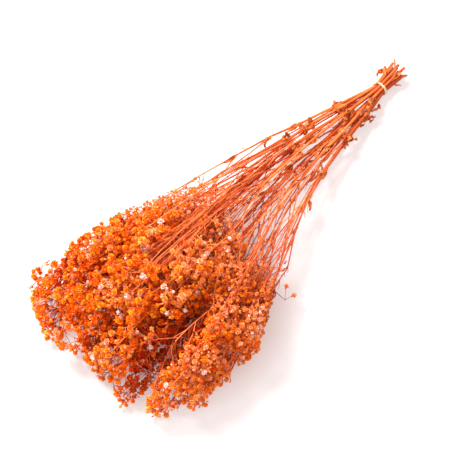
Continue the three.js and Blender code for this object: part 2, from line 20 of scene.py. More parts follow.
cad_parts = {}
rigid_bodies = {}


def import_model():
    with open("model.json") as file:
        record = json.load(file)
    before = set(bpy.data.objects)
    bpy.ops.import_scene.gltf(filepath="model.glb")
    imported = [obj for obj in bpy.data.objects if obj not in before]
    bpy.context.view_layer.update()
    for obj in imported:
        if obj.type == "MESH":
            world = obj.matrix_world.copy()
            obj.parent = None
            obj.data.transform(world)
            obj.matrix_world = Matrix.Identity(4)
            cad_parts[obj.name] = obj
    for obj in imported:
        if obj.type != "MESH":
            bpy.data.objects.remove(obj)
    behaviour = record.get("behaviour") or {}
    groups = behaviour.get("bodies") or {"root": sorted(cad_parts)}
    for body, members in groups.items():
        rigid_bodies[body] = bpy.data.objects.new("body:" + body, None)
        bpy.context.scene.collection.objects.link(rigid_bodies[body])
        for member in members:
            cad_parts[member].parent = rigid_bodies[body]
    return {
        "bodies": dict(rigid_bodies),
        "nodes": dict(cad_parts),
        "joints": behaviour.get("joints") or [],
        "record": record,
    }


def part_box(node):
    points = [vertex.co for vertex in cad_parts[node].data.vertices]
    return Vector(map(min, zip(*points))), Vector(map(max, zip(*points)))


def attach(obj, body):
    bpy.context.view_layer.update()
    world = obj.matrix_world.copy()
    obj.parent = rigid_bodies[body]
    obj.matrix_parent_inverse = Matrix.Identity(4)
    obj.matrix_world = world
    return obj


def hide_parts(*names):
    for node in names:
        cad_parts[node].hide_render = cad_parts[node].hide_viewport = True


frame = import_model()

LOG = logging.getLogger("gypsophila")
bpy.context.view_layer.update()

Point = np.ndarray  # a place or a direction, in millimetres
Rows = np.ndarray  # many points or numbers, one a row
Line = list[np.ndarray]
Joint = tuple[float, np.ndarray]  # how far from the tie, and where
Mesh = bmesh.types.BMesh
Piece = bpy.types.Object
Socket = bpy.types.NodeSocket
Colour = tuple[float, float, float]

MM = 0.001
DEGREE = math.pi / 180
GOLDEN_ANGLE = 137.5 * DEGREE
LEAF_STEPS = (0, 0.34, 0.7, 1)  # shares of a leaf's length at which its line has points
UP = np.array((0.0, 0.0, 1.0))
BODY = "root"
STEM_SLOT = "dyed_stem"
BLOOM_SLOT = "dyed_bloom"
ELASTIC_SLOT = "elastic"
UP_VECTOR = Vector((0, 0, 1))


def tie_place() -> Matrix:
    """Millimetres from the tie to the frame's place in metres: the band's box gives the tie.

    Returns:
        The matrix.
    """
    low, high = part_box("elastic_band")
    middle = (low + high) / 2
    return Matrix.Translation((middle.x, middle.y, 0)) @ Matrix.Diagonal((MM, MM, MM, 1))


TIE_PLACE = tie_place()


# ---------------------------------------------------------------- repeatable draws


class Draw(Enum):
    """What a repeatable draw decides: the first whole number of its place."""

    KINK = 1
    BRANCH_TIP = 2
    TWIG_TURN = 3
    LEAF_TURN = 4
    CUT = 5
    AIM_SHIFT = 6
    BLOOM_SIZE = 7
    SPRAY = 8
    FILLER = 9
    DYE = 10
    BLADE = 11
    BLOOM_TURN = 12
    SIDE_SHOOT = 13
    WISP = 14
    BARB = 15
    SCRAP = 16
    TANGLE = 17


def draw(kind: Draw, *place: int) -> float:
    """A repeatable draw for one place in the bunch.

    Args:
        kind: What is decided.
        *place: Whole numbers that name the place.

    Returns:
        A number from 0 to 1, always the same for the same place.
    """
    mask = 0xFFFFFFFF
    h = 0x9E3779B9
    for n in (kind.value, *place):
        h = ((h ^ (n + 0x7F4A7C15)) * 0x85EBCA6B) & mask
        h ^= h >> 13
        h = (h * 0xC2B2AE35) & mask
        h ^= h >> 16
    return h / 4294967296


def draws(count: int, kind: Draw, *place: int) -> list[float]:
    """Several draws for one place."""
    return [draw(kind, *place, i) for i in range(count)]


def between(low: float, high: float, kind: Draw, *place: int) -> float:
    """The same draw, spread evenly from low to high."""
    return low + (high - low) * draw(kind, *place)


# ---------------------------------------------------------------- plain geometry


def smooth(low: float, high: float, x: float) -> float:
    """A smooth step from 0 at low to 1 at high."""
    t = min(1.0, max(0.0, (x - low) / (high - low)))
    return t * t * (3 - 2 * t)


def bump(x: float, middle: float, width: float) -> float:
    """A round hump of height 1 over middle."""
    return math.exp(-(((x - middle) / width) ** 2))


def part_way(ends: tuple, share: float) -> float:
    """The value at a share of the way between two ends."""
    return ends[0] + (ends[1] - ends[0]) * share


def unit(v: Point) -> Point:
    """A vector of length 1 along v."""
    return v / math.sqrt(v @ v)


def square(axis: Point, angle: float) -> Point:
    """A unit vector square to axis, turned round it by an angle."""
    side = unit(np.cross(axis, UP))
    return side * math.cos(angle) + np.cross(axis, side) * math.sin(angle)


def span_distances(a: Point, b: Point, c: Rows, d: Rows) -> Rows:
    """Shortest distances between one line segment and many.

    Args:
        a: Start of the one segment.
        b: Its end.
        c: Starts of the others, one a row.
        d: Their ends.

    Returns:
        One distance for each of the others.
    """
    ab, cd, ca = b - a, d - c, a - c
    e, f, g = ab @ ab, (cd * cd).sum(1), cd @ ab
    h, k = ca @ ab, (cd * ca).sum(1)
    span = e * f - g * g
    s = np.where(span > 1e-9, np.clip((g * k - h * f) / np.maximum(span, 1e-9), 0, 1), 0)
    t = np.clip((g * s + k) / np.maximum(f, 1e-9), 0, 1)
    s = np.clip((g * t - h) / e, 0, 1)
    return np.sqrt(((ca + s[:, None] * ab - t[:, None] * cd) ** 2).sum(1))


def point_distances(p: Point, a: Rows, b: Rows) -> Rows:
    """Shortest distances from one point to many line segments a-b.

    Args:
        p: The point.
        a: Starts of the segments, one a row.
        b: Their ends.

    Returns:
        One distance for each segment.
    """
    ab, ap = b - a, p - a
    s = np.clip((ap * ab).sum(1) / np.maximum((ab * ab).sum(1), 1e-9), 0, 1)
    return np.sqrt(((ap - s[:, None] * ab) ** 2).sum(1))


def point_to_span(points: Rows, p: Point, q: Point) -> Rows:
    """Shortest distances from many points to one line segment p-q.

    Args:
        points: The points, one a row.
        p: Start of the segment.
        q: Its end.

    Returns:
        One distance for each point.
    """
    pq, to = q - p, points - p
    s = np.clip(to @ pq / max(pq @ pq, 1e-9), 0, 1)
    return np.sqrt(((to - s[:, None] * pq) ** 2).sum(1))


def along(points: Line, share: float) -> tuple[Point, Point]:
    """The point and direction at a share of a line's length.

    Args:
        points: The line's points.
        share: How far along, from 0 to 1.

    Returns:
        The point and the direction.
    """
    lengths = [math.dist(p, q) for p, q in zip(points, points[1:])]
    left = share * sum(lengths)
    i = 0
    while i < len(lengths) - 1 and left > lengths[i]:
        left -= lengths[i]
        i += 1
    step = points[i + 1] - points[i]
    return points[i] + step * min(1.0, left / lengths[i]), unit(step)


def ways_along(points: Line) -> Line:
    """The direction of a line at each of its points."""
    steps = [unit(q - p) for p, q in zip(points, points[1:])]
    return [steps[0], *(unit(p + q) for p, q in zip(steps, steps[1:])), steps[-1]]


def curled(root: Point, lean: Point, outward: Point, length: float, curl: float) -> Line:
    """A leaf's line, which leaves its root along its lean and curls back against outward."""
    return [root + lean * (length * t) - outward * (curl * t * t) for t in LEAF_STEPS]


# ---------------------------------------------------------------- what the solids state


@dataclass(frozen=True)
class Sizes:
    """The driving dimensions of the solids, in millimetres, degrees and shares."""

    cut_longest: float = 37
    cut_spread: float = 12
    cut_splay: float = 0.02
    cut_droop: float = 0.003
    reach: float = 440
    head_start: float = 242
    start_per_degree: float = -1.3
    head_crest: float = 320
    head_height: float = 97
    fan_left: float = 17.1
    fan_right: float = -16.6
    stem_radius: float = 1.5
    tip_radius: float = 0.6
    rings: tuple = ((4, 2.36, 45), (10, 5.68, 18))  # count, radius and turn of the stems in the tie
    clearance: float = 0.3
    parallel: float = 4
    band_thickness: float = 1.3
    bloom_smallest: float = 5.5
    bloom_largest: float = 7.2
    bloom_room: float = 1.05
    fork: float = 9

    @property
    def bundle_radius(self) -> float:
        """Outer radius of the stems in the tie."""
        return self.rings[1][1] + self.stem_radius

    @property
    def tie_height(self) -> float:
        """Middle of the bundle at the tie, over the surface."""
        return self.bundle_radius + self.clearance + self.band_thickness

    @property
    def stems(self) -> list[tuple[float, float]]:
        """Where each stem passes the tie: y and z from the bundle's middle.

        Returns:
            One place for each stem.
        """
        places = []
        for count, radius, turn in self.rings:
            for i in range(count):
                angle = (turn + 360 * i / count) * DEGREE
                places.append((radius * math.cos(angle), radius * math.sin(angle)))
        return places


SIZES = Sizes()


@dataclass(frozen=True)
class Head:
    """The flower head's outline: how far it reaches and how high it stands.

    Humps are bearing, width and share of the reach; steps are from, to and share.
    """

    level: float = 0.972
    lobes: tuple = ((9, 3.5, 0.024), (-7.2, 1.5, 0.012))
    notches: tuple = ((3.6, 0.8, 0.03), (-5.3, 0.9, 0.055))
    corners: tuple = ((12.5, 16.5, 0.02), (-8, -12, 0.045), (-12.6, -14.4, 0.1), (-14.5, -17, 0.08))
    narrow: float = 0.82
    narrow_from: float = 215
    wide: tuple = (310, 335)  # where the left and the right edge reach their full bearing
    cleft: float = -4.8
    cleft_drift: float = 7.8
    drifting: tuple = (345, 425)  # the reach over which the cleft drifts
    cleft_size: tuple = (0.6, 2.2)  # depth and width
    cleft_start: tuple = (230, 300)
    sides: tuple = (-1, 19)  # bearing of the head's middle, and how far from it the sides end
    low_hump: tuple = (-3, -8, 0.18)  # bearings over which the right hump gets lower, and by how much
    droops: tuple = (0.75, 0.95)  # of the front and of the sides
    bays: tuple = ()  # reach, width and degrees of each bay in the edges, above 0 for the left edge
    gaps: tuple = ()  # x and y on the surface and radius of each gap between two tufts
    gap_lean: tuple = (-0.245, -0.38)  # how far a gap leans over for each millimetre of height
    gap_room: float = 0.7  # share of a bloom's radius that keeps out of a gap
    rooms: tuple = (0.8, 0.6)  # shares that keep from the front and the surface, and under the top

    def start_on(self, bearing: float) -> float:
        """Distance from the tie to the head's nearest bloom on a bearing."""
        return SIZES.head_start + SIZES.start_per_degree * bearing

    def reach_on(self, bearing: float) -> float:
        """Distance from the tie to the head's front on a bearing, in degrees from -X.

        Args:
            bearing: In degrees from -X, above 0 to the left.

        Returns:
            The distance in millimetres.
        """
        lobes = sum(share * bump(bearing, middle, width) for middle, width, share in self.lobes)
        notches = sum(share * bump(bearing, middle, width) for middle, width, share in self.notches)
        corners = sum(share * smooth(start, end, bearing) for start, end, share in self.corners)
        return SIZES.reach * (self.level + lobes - notches - corners)

    def cleft_at(self, bearing: float, reach: float) -> float:
        """1 along the middle of the cleft, falling to 0 beside it and before it starts."""
        middle = self.cleft + self.cleft_drift * smooth(*self.drifting, reach)
        return bump(bearing, middle, self.cleft_size[1]) * smooth(*self.cleft_start, reach)

    def top_on(self, bearing: float, reach: float) -> float:
        """Height of the head's upper surface: a wide hump, a cleft and a lower hump.

        Args:
            bearing: In degrees from -X, above 0 to the left.
            reach: How far from the tie.

        Returns:
            The height in millimetres.
        """
        tie = SIZES.tie_height
        rise = tie + (SIZES.head_height - tie) * min(1.0, reach / SIZES.head_crest)
        nose = max(0.0, reach - SIZES.head_crest) / (self.reach_on(bearing) - SIZES.head_crest)
        side = min(1.0, abs(bearing - self.sides[0]) / self.sides[1])
        cleft = self.cleft_size[0] * self.cleft_at(bearing, reach)
        low_hump = 1 - self.low_hump[2] * smooth(*self.low_hump[:2], bearing)
        droop = math.sqrt(max(0.0, 1 - self.droops[0] * nose**2)) * math.sqrt(1 - self.droops[1] * side**3)
        return rise * low_hump * (1 - cleft) * droop

    @staticmethod
    def place(p: Point) -> tuple[float, float]:
        """The bearing and reach of a point."""
        return math.atan2(p[1], -p[0]) / DEGREE, math.hypot(p[0], p[1])

    def in_fan(self, p: Point) -> bool:
        """Whether p lies between the fan's edges, which widen towards the head.

        Args:
            p: The place.

        Returns:
            True between the edges.
        """
        bearing, reach = self.place(p)
        opened = [smooth(self.narrow_from, full, reach) for full in self.wide]
        left, right = (self.narrow + (1 - self.narrow) * share for share in opened)
        depths = [degrees * bump(reach, middle, width) for middle, width, degrees in self.bays]
        most, least = SIZES.fan_left * left, SIZES.fan_right * right
        return least - min([0, *depths]) < bearing < most - max([0, *depths])

    def in_gap(self, p: Point, radius: float) -> bool:
        """Whether a bloom of this radius at p would close a gap.

        Args:
            p: The bloom's middle.
            radius: Its radius.

        Returns:
            True where it would.
        """
        x, y = p[0] - self.gap_lean[0] * p[2], p[1] - self.gap_lean[1] * p[2]
        own = radius * self.gap_room
        return any(math.hypot(x - gap_x, y - gap_y) < room + own for gap_x, gap_y, room in self.gaps)

    def holds(self, p: Point, radius: float) -> bool:
        """Whether a bloom of this radius at p lies in the head, on or over the surface.

        Args:
            p: The bloom's middle.
            radius: Its radius.

        Returns:
            True where it fits.
        """
        bearing, reach = self.place(p)
        low, high = radius * self.rooms[0], radius * self.rooms[1]
        if not self.in_fan(p) or not self.start_on(bearing) <= reach <= self.reach_on(bearing) - low:
            return False
        return low < p[2] < self.top_on(bearing, reach) - high and not self.in_gap(p, radius)


@dataclass
class Limb:
    """A stem, branch or twig of the solids, which ends in a bloom."""

    stem: int
    points: Line
    radii: list[float]
    rank: int  # 0 for a stem, 1 for a branch, 2 for a twig
    centre: Point  # of the bloom
    size: float  # radius of the bloom


@dataclass
class Leaf:
    """A leaf of the solids: its line and how it lies."""

    stem: int
    line: Line
    across: Point
    half_width: float
    twist: float


class Rods:
    """Straight stretches of limbs, and the room that they take."""

    def __init__(self, room: int = 16384) -> None:
        """Makes room for this many.

        Args:
            room: The most stretches that there may be.
        """
        self.count = 0
        self.stem = np.zeros(room, int)
        self.limb = np.zeros(room, int)
        self.root = np.zeros((room, 3))
        self.a = np.zeros((room, 3))
        self.b = np.zeros((room, 3))
        self.radius = np.zeros(room)

    def add(self, stem: int, limb: int, points: Line, radii: list[float]) -> None:
        """Keeps the room of a line, whose radius may differ from point to point.

        Args:
            stem: The stem's number.
            limb: Number of the limb.
            points: The line's points.
            radii: The radius at each point.
        """
        for i in range(len(points) - 1):
            n = self.count
            self.stem[n], self.limb[n], self.root[n] = stem, limb, points[0]
            self.a[n], self.b[n] = points[i], points[i + 1]
            self.radius[n] = max(radii[i], radii[i + 1])
            self.count += 1

    def ends(self) -> tuple[Rows, Rows]:
        """Both ends of every span, one a row."""
        return self.a[: self.count], self.b[: self.count]


@dataclass
class Growth:
    """Grows the limbs and leaves of the solids, one rank at a time."""

    head: Head
    limbs: list[Limb] = field(default_factory=list)
    leaves: list[Leaf] = field(default_factory=list)
    rods: Rods = field(default_factory=Rods)
    centres: Rows = field(default_factory=lambda: np.zeros((2048, 3)))  # of the blooms
    sizes: Rows = field(default_factory=lambda: np.zeros(2048))
    joints: list[list[Joint]] = field(default_factory=list)

    AIM = {"distance": 340, "half_width": 86, "half_height": 24, "shift": -3, "height": 36}
    BOW = {"middle": 11, "right": 2, "sooner": 0.2, "late": 1.25}
    STRAY = (6, 3)
    STEM_END, END_ROOM = (392, 434), 1.5  # the room in radii of the largest bloom
    ARCH, THINNING, BEND = (1.22, 0.22), (20, 250), 0.45
    JOINTS = {"first": 46, "first_spread": 18, "step": 40, "spread": 7, "kink": 0.015, "most": 4}
    SWELL, SWOLLEN, SWELLING = 1.42, 2, (5, 3.5)
    BRANCHES, FIRST_JOINT, BRANCH_RANGE, LEAVE, TAPER = 6, 2, (60, 190), 26 * DEGREE, 0.72
    BRANCH_SPREAD = {"least": 15, "range": 31, "sideways": 1.15, "upwards": 0.8}
    TWIG = {"root": 0.35, "radius": 0.5, "length": (15, 25), "angle": 30, "range": 34}
    ON_STEM, ON_BRANCH = (3, 0.66, 0.29), (3, 0.45, 0.47)
    LEAF_JOINTS, LEAF_SHARE, LEAF_LENGTH, LEAF_WIDTH = 4, 0.72, (11, 21), 5
    LEAF_POSE = {"angle": 16, "range": 32, "curl": (-0.3, 0.5), "twist": 50, "width": 0.8, "wider": 0.3}
    TRIALS = {"branch": 60, "twig": 44, "leaf": 30}
    CUT_END_LEAVES = (
        (6, -26, 15, 1.1, (0.25, 0.42, 0.87)),
        (5, -13, 11, 2.2, (0.45, 0.56, 0.72)),
        (8, -25, 10, 2, (0.55, -0.7, 0.45)),
        (9, -15, 9, 1.9, (0.6, -0.78, -0.12)),
    )
    CUT_END = {"droop": 0.12, "twist": 35}
    NO_LIMB = -1

    def is_clear(self, stem: int, parent: int, points: Line, radius: float) -> bool:
        """Whether a line stays clear of all but its own parent limb.

        Args:
            stem: The stem that the line grows from.
            parent: Number of the limb that it grows from.
            points: The line.
            radius: Its radius.

        Returns:
            True where nothing is nearer than the clearance.
        """
        rods, n, blooms = self.rods, self.rods.count, len(self.limbs)
        at_fork = np.sqrt(((rods.root[:n] - points[0]) ** 2).sum(1)) < SIZES.fork
        tested = (rods.limb[:n] != parent) & ~((rods.stem[:n] == stem) & at_fork)
        a, b, thick = rods.a[:n][tested], rods.b[:n][tested], rods.radius[:n][tested]
        room = radius + self.sizes[:blooms] * SIZES.bloom_room + SIZES.clearance
        for p, q in zip(points, points[1:]):
            if min(p[2], q[2]) < radius + SIZES.clearance:
                return False
            if (span_distances(p, q, a, b) < radius + thick + SIZES.clearance).any():
                return False
            to_blooms = point_to_span(self.centres[:blooms], p, q)
            if (to_blooms < room).any():
                return False
        return True

    def has_room(self, parent: int, centre: Point, size: float) -> bool:
        """Whether a bloom at centre stays clear of everything but the limb that carries it.

        Args:
            parent: Number of the limb that carries it.
            centre: The bloom's middle.
            size: The bloom's radius.

        Returns:
            True where it has.
        """
        rods, n, blooms = self.rods, self.rods.count, len(self.limbs)
        near = size * SIZES.bloom_room + SIZES.clearance
        tested = rods.limb[:n] != parent
        to_rods = point_distances(centre, rods.a[:n][tested], rods.b[:n][tested])
        if (to_rods <= near + rods.radius[:n][tested]).any():
            return False
        gaps = np.sqrt(((self.centres[:blooms] - centre) ** 2).sum(1))
        return bool((gaps > near + self.sizes[:blooms] * SIZES.bloom_room).all())

    def add(self, limb: Limb) -> int:
        """Adds a limb with its bloom, and returns its number.

        Args:
            limb: The limb.

        Returns:
            Its number.
        """
        number = len(self.limbs)
        self.rods.add(limb.stem, number, limb.points, limb.radii)
        self.centres[number], self.sizes[number] = limb.centre, limb.size
        self.limbs.append(limb)
        return number

    def emptiness(self, p: Point) -> float:
        """The distance from p to the nearest bloom: the more, the emptier the place."""
        gaps = ((self.centres[: len(self.limbs)] - p) ** 2).sum(1)
        return min(200.0, math.sqrt(gaps.min()))

    @staticmethod
    def stem_radius(distance: float) -> float:
        """A stem's radius at a distance from the tie."""
        t = smooth(*Growth.THINNING, distance)
        return (1 - t) * SIZES.stem_radius + t * SIZES.tip_radius

    @staticmethod
    def bloom_size(*place: int) -> float:
        """The radius of the bloom at a limb's end."""
        return between(SIZES.bloom_smallest, SIZES.bloom_largest, Draw.BLOOM_SIZE, *place)

    def stem_point(self, stem: int, distance: float) -> Point:
        """A point of a stem's centre line, at a distance from the tie: minus towards the cut.

        Args:
            stem: The stem's number.
            distance: How far from the tie.

        Returns:
            The point.
        """
        y, z = SIZES.stems[stem]
        tie = SIZES.tie_height
        if distance <= SIZES.parallel:
            past = max(0.0, -distance - SIZES.parallel)
            across, up = 1 + past * SIZES.cut_splay, 1 + past * SIZES.cut_droop
            return np.array((-distance, y * across, tie + z * up))
        widest = SIZES.rings[1][1]
        stray_y = between(-self.STRAY[0], self.STRAY[0], Draw.AIM_SHIFT, stem, 0)
        stray_z = between(-self.STRAY[1], self.STRAY[1], Draw.AIM_SHIFT, stem, 1)
        aim_y = self.AIM["shift"] + (y / widest) * self.AIM["half_width"] + stray_y
        aim_z = self.AIM["height"] + (z / widest) * self.AIM["half_height"] + stray_z
        u = (distance - SIZES.parallel) / (self.AIM["distance"] - SIZES.parallel)
        arch = u * (self.ARCH[0] - self.ARCH[1] * u * u)
        side = y / widest
        stage = min(1.0, u * (1 + self.BOW["sooner"] * (1 - side))) ** self.BOW["late"]
        bow = (self.BOW["middle"] - self.BOW["right"] * side) * math.sin(math.pi * stage)
        return np.array((-distance, y + (aim_y - y) * u + bow, tie + z + (aim_z - tie - z) * arch))

    def joints_of(self, stem: int) -> tuple[list[Joint], Point]:
        """A stem's joints, each a little off its straight line, and its far end.

        Args:
            stem: The stem's number.

        Returns:
            The joints and the far end.
        """
        bearing = self.head.place(self.stem_point(stem, self.STEM_END[0]))[0]
        furthest = self.head.reach_on(bearing) - self.END_ROOM * SIZES.bloom_largest
        end = min(furthest, between(*self.STEM_END, Draw.KINK, stem, 99))
        spread = self.JOINTS["first_spread"]
        first = self.JOINTS["first"] + between(-spread, spread, Draw.KINK, stem, 98)
        joints = []
        k = 0
        while True:
            spread = self.JOINTS["spread"]
            distance = first + self.JOINTS["step"] * k + between(-spread, spread, Draw.KINK, stem, k)
            if distance > end - 2 * SIZES.bloom_largest:
                return joints, self.stem_point(stem, end)
            kink = min(self.JOINTS["kink"] * distance, self.JOINTS["most"])
            point = self.stem_point(stem, distance)
            point[1] += between(-kink, kink, Draw.KINK, stem, k, 1)
            point[2] += between(-kink, kink, Draw.KINK, stem, k, 2)
            point[2] = max(point[2], self.stem_radius(distance) * self.SWELL + 1)
            joints.append((distance, point))
            k += 1

    def grow_stem(self, stem: int) -> None:
        """The main line of a stem, from its cut end to its last bloom.

        Args:
            stem: The stem's number.
        """
        joints, tip = self.joints_of(stem)
        cut = -SIZES.cut_longest + between(0, SIZES.cut_spread, Draw.CUT, stem)
        points = [self.stem_point(stem, d) for d in (cut, -SIZES.parallel, SIZES.parallel)]
        radii = [SIZES.stem_radius] * 3
        for k, (distance, point) in enumerate(joints):
            radius = self.stem_radius(distance)
            if k >= self.SWOLLEN:
                points.append(point)
                radii.append(radius)
                continue
            before, after = points[-1], joints[k + 1][1]
            points.append(point + (before - point) * (self.SWELLING[0] / math.dist(point, before)))
            points += [point, point + (after - point) * (self.SWELLING[1] / math.dist(point, after))]
            radii += [radius, radius * self.SWELL, radius]
        points.append(tip)
        radii.append(SIZES.tip_radius)
        self.joints.append(joints)
        self.add(Limb(stem, points, radii, 0, tip, self.bloom_size(stem)))

    def branch_line(self, root: Point, direction: Point, tip: Point) -> Line:
        """A branch's line: it leaves its joint at a wide angle and bends back along the stem.

        Args:
            root: Where it starts.
            direction: The stem's direction there.
            tip: Where it ends.

        Returns:
            Its points.
        """
        chord = tip - root
        length = math.sqrt(chord @ chord)
        outward = unit(chord - direction * (chord @ direction))
        bend = direction * math.cos(self.LEAVE) + outward * math.sin(self.LEAVE)
        middle = root + bend * (length * self.BEND)
        shares = (0, 1 / 3, 2 / 3, 1)
        return [root * (1 - t) ** 2 + middle * (2 * t * (1 - t)) + tip * t**2 for t in shares]

    def grow_branch(self, stem: int, number: int) -> int | None:
        """A branch from one joint, to the emptiest place in the head that it can reach.

        Args:
            stem: The stem's number.
            number: Which branch of the stem it is.

        Returns:
            Its number among the limbs, or None where nothing fits.
        """
        joints, tip_of_stem = self.joints[stem], self.limbs[stem].points[-1]
        at = self.FIRST_JOINT + number
        if at >= len(joints):
            return None
        distance, root = joints[at]
        after = joints[at + 1][1] if at + 1 < len(joints) else tip_of_stem
        direction = unit(after - root)
        size = self.bloom_size(stem, number)
        start = self.head.start_on(self.head.place(self.stem_point(stem, SIZES.head_start))[0])
        nearest = max(start + 2 * SIZES.bloom_largest, distance + self.BRANCH_RANGE[0])
        furthest = min(self.STEM_END[1], distance + self.BRANCH_RANGE[1])
        radius = self.stem_radius(distance) * self.TAPER
        best: tuple[float, Line] | None = None
        for trial in range(self.TRIALS["branch"]):
            roll = draws(3, Draw.BRANCH_TIP, stem, number, trial)
            tip = self.stem_point(stem, part_way((nearest, furthest), roll[0]))
            spread = self.BRANCH_SPREAD["least"] + self.BRANCH_SPREAD["range"] * roll[1]
            turn = number * GOLDEN_ANGLE + 2 * math.pi * roll[2]
            tip[1] += spread * self.BRANCH_SPREAD["sideways"] * math.cos(turn)
            tip[2] += spread * self.BRANCH_SPREAD["upwards"] * math.sin(turn)
            if not self.head.holds(tip, size):
                continue
            score = self.emptiness(tip)
            if best and score <= best[0]:
                continue
            points = self.branch_line(root, direction, tip)
            if not all(self.head.in_fan(p) for p in points[1:]):
                continue
            if not self.is_clear(stem, stem, points, radius) or not self.has_room(stem, tip, size):
                continue
            best = (score, points)
        if not best:
            return None
        points = best[1]
        last = len(points) - 1
        radii = [radius * (1 - i / last) + self.TWIG["radius"] * i / last for i in range(last + 1)]
        return self.add(Limb(stem, points, radii, 1, points[-1], size))

    def grow_twig(self, parent: int, number: int, share: float) -> None:
        """A straight twig with a bloom, at a share of its limb's length, into the emptiest place.

        Args:
            parent: Number of the limb that carries it.
            number: Which twig of the limb it is.
            share: How far along the limb it starts.
        """
        limb = self.limbs[parent]
        point, direction = along(limb.points, share)
        size = self.bloom_size(parent, number, 1)
        best: tuple[float, Point] | None = None
        for trial in range(self.TRIALS["twig"]):
            roll = draws(3, Draw.TWIG_TURN, parent, number, trial)
            angle = (self.TWIG["angle"] + self.TWIG["range"] * roll[0]) * DEGREE
            length = part_way(self.TWIG["length"], roll[1])
            lean = square(direction, 2 * math.pi * roll[2]) * math.sin(angle)
            centre = point + (lean + direction * math.cos(angle)) * length
            if not self.head.holds(centre, size):
                continue
            score = self.emptiness(centre)
            if best and score <= best[0]:
                continue
            if not self.is_clear(limb.stem, parent, [point, centre], self.TWIG["radius"]):
                continue
            if self.has_room(parent, centre, size):
                best = (score, centre)
        if best:
            radii = [self.TWIG["root"], self.TWIG["radius"]]
            self.add(Limb(limb.stem, [point, best[1]], radii, 2, best[1], size))

    def grow_leaf(self, stem: int, number: int) -> None:
        """A dried leaf at a joint: a narrow blade that curls away from the stem and twists.

        Args:
            stem: The stem's number.
            number: The joint's number.
        """
        if draw(Draw.LEAF_TURN, stem, number, self.LEAF_JOINTS) > self.LEAF_SHARE:
            return
        joints, pose = self.joints[stem], self.LEAF_POSE
        point = joints[number][1]
        direction = unit(joints[number + 1][1] - point)
        for trial in range(self.TRIALS["leaf"]):
            roll = draws(6, Draw.LEAF_TURN, stem, number, trial)
            angle = (pose["angle"] + pose["range"] * roll[0]) * DEGREE
            length = part_way(self.LEAF_LENGTH, roll[1])
            outward = square(direction, 2 * math.pi * roll[2])
            lean = direction * math.cos(angle) + outward * math.sin(angle)
            line = curled(point, lean, outward, length, part_way(pose["curl"], roll[3]) * length)
            half_width = (self.LEAF_WIDTH / 2) * (pose["width"] + pose["wider"] * roll[4])
            if not self.is_clear(stem, stem, line[1:], half_width):
                continue
            self.rods.add(stem, self.NO_LIMB, line, [half_width] * 4)
            twist = (-pose["twist"] + 2 * pose["twist"] * roll[5]) * DEGREE
            self.leaves.append(Leaf(stem, line, unit(np.cross(lean, outward)), half_width, twist))
            return

    def grow_cut_end_leaf(
        self, stem: int, distance: float, length: float, half_width: float, lean: tuple
    ) -> None:
        """What is left of a leaf near a stem's cut end.

        Args:
            stem: The stem's number.
            distance: How far from the tie it is.
            length: Its length.
            half_width: Half its width.
            lean: Its direction.
        """
        root, direction = self.stem_point(stem, distance), unit(np.array(lean))
        line = [root + direction * (length * t) for t in LEAF_STEPS]
        line[-1] = line[-1] - UP * (self.CUT_END["droop"] * length)
        if not self.is_clear(stem, stem, line[1:], half_width):
            return
        self.rods.add(stem, self.NO_LIMB, line, [half_width] * 4)
        across = unit(np.cross((1.0, 0.0, 0.0), direction))
        self.leaves.append(Leaf(stem, line, across, half_width, self.CUT_END["twist"] * DEGREE))

    def grow_twigs(self, parents: list[int], twigs: int, start: float, stretch: float) -> None:
        """Twigs along each of these limbs, spread evenly over a stretch of its length.

        Args:
            parents: Numbers of the limbs.
            twigs: How many each gets.
            start: Where the stretch starts, as a share.
            stretch: How long it is, as a share.
        """
        for number in range(twigs):
            for parent in parents:
                self.grow_twig(parent, number, start + stretch * (number + 0.5) / twigs)

    def grow(self) -> None:
        """Grows everything that the solids hold, in their order."""
        stems = range(len(SIZES.stems))
        for stem in stems:
            self.grow_stem(stem)
        for number in range(self.LEAF_JOINTS):
            for stem in stems:
                self.grow_leaf(stem, number)
        for leaf in self.CUT_END_LEAVES:
            self.grow_cut_end_leaf(*leaf)
        branches = []
        for number in reversed(range(self.BRANCHES)):
            branches += [self.grow_branch(stem, number) for stem in stems]
        self.grow_twigs(list(stems), *self.ON_STEM)
        self.grow_twigs([branch for branch in branches if branch is not None], *self.ON_BRANCH)


# ---------------------------------------------------------------- sprays of real blooms


class Stage(Enum):
    """How far a bloom has opened."""

    OPEN = "open"
    HALF = "half_open"
    BUD = "bud"


@dataclass
class BloomPlace:
    """One real bloom: where it is, which way it faces and how it looks."""

    stem: int
    centre: Point
    facing: Point
    size: float  # radius
    stage: Stage
    dye: float  # 1 for full dye, 0 for nearly white, and above 1 for painted shade deep in the head
    place: int  # its own number, for further draws


@dataclass
class Run:
    """A round run of wood through some points."""

    stem: int
    points: Line
    radii: list[float]
    sides: int


def any_direction(kind: Draw, *place: int) -> Point:
    """A repeatable direction, spread evenly over the sphere.

    Args:
        kind: What is decided.
        *place: Whole numbers that name the place.

    Returns:
        A vector of length 1.
    """
    z = between(-1, 1, kind, *place, 1)
    turn = 2 * math.pi * draw(kind, *place, 2)
    flat = math.sqrt(1 - z * z)
    return np.array((flat * math.cos(turn), flat * math.sin(turn), z))


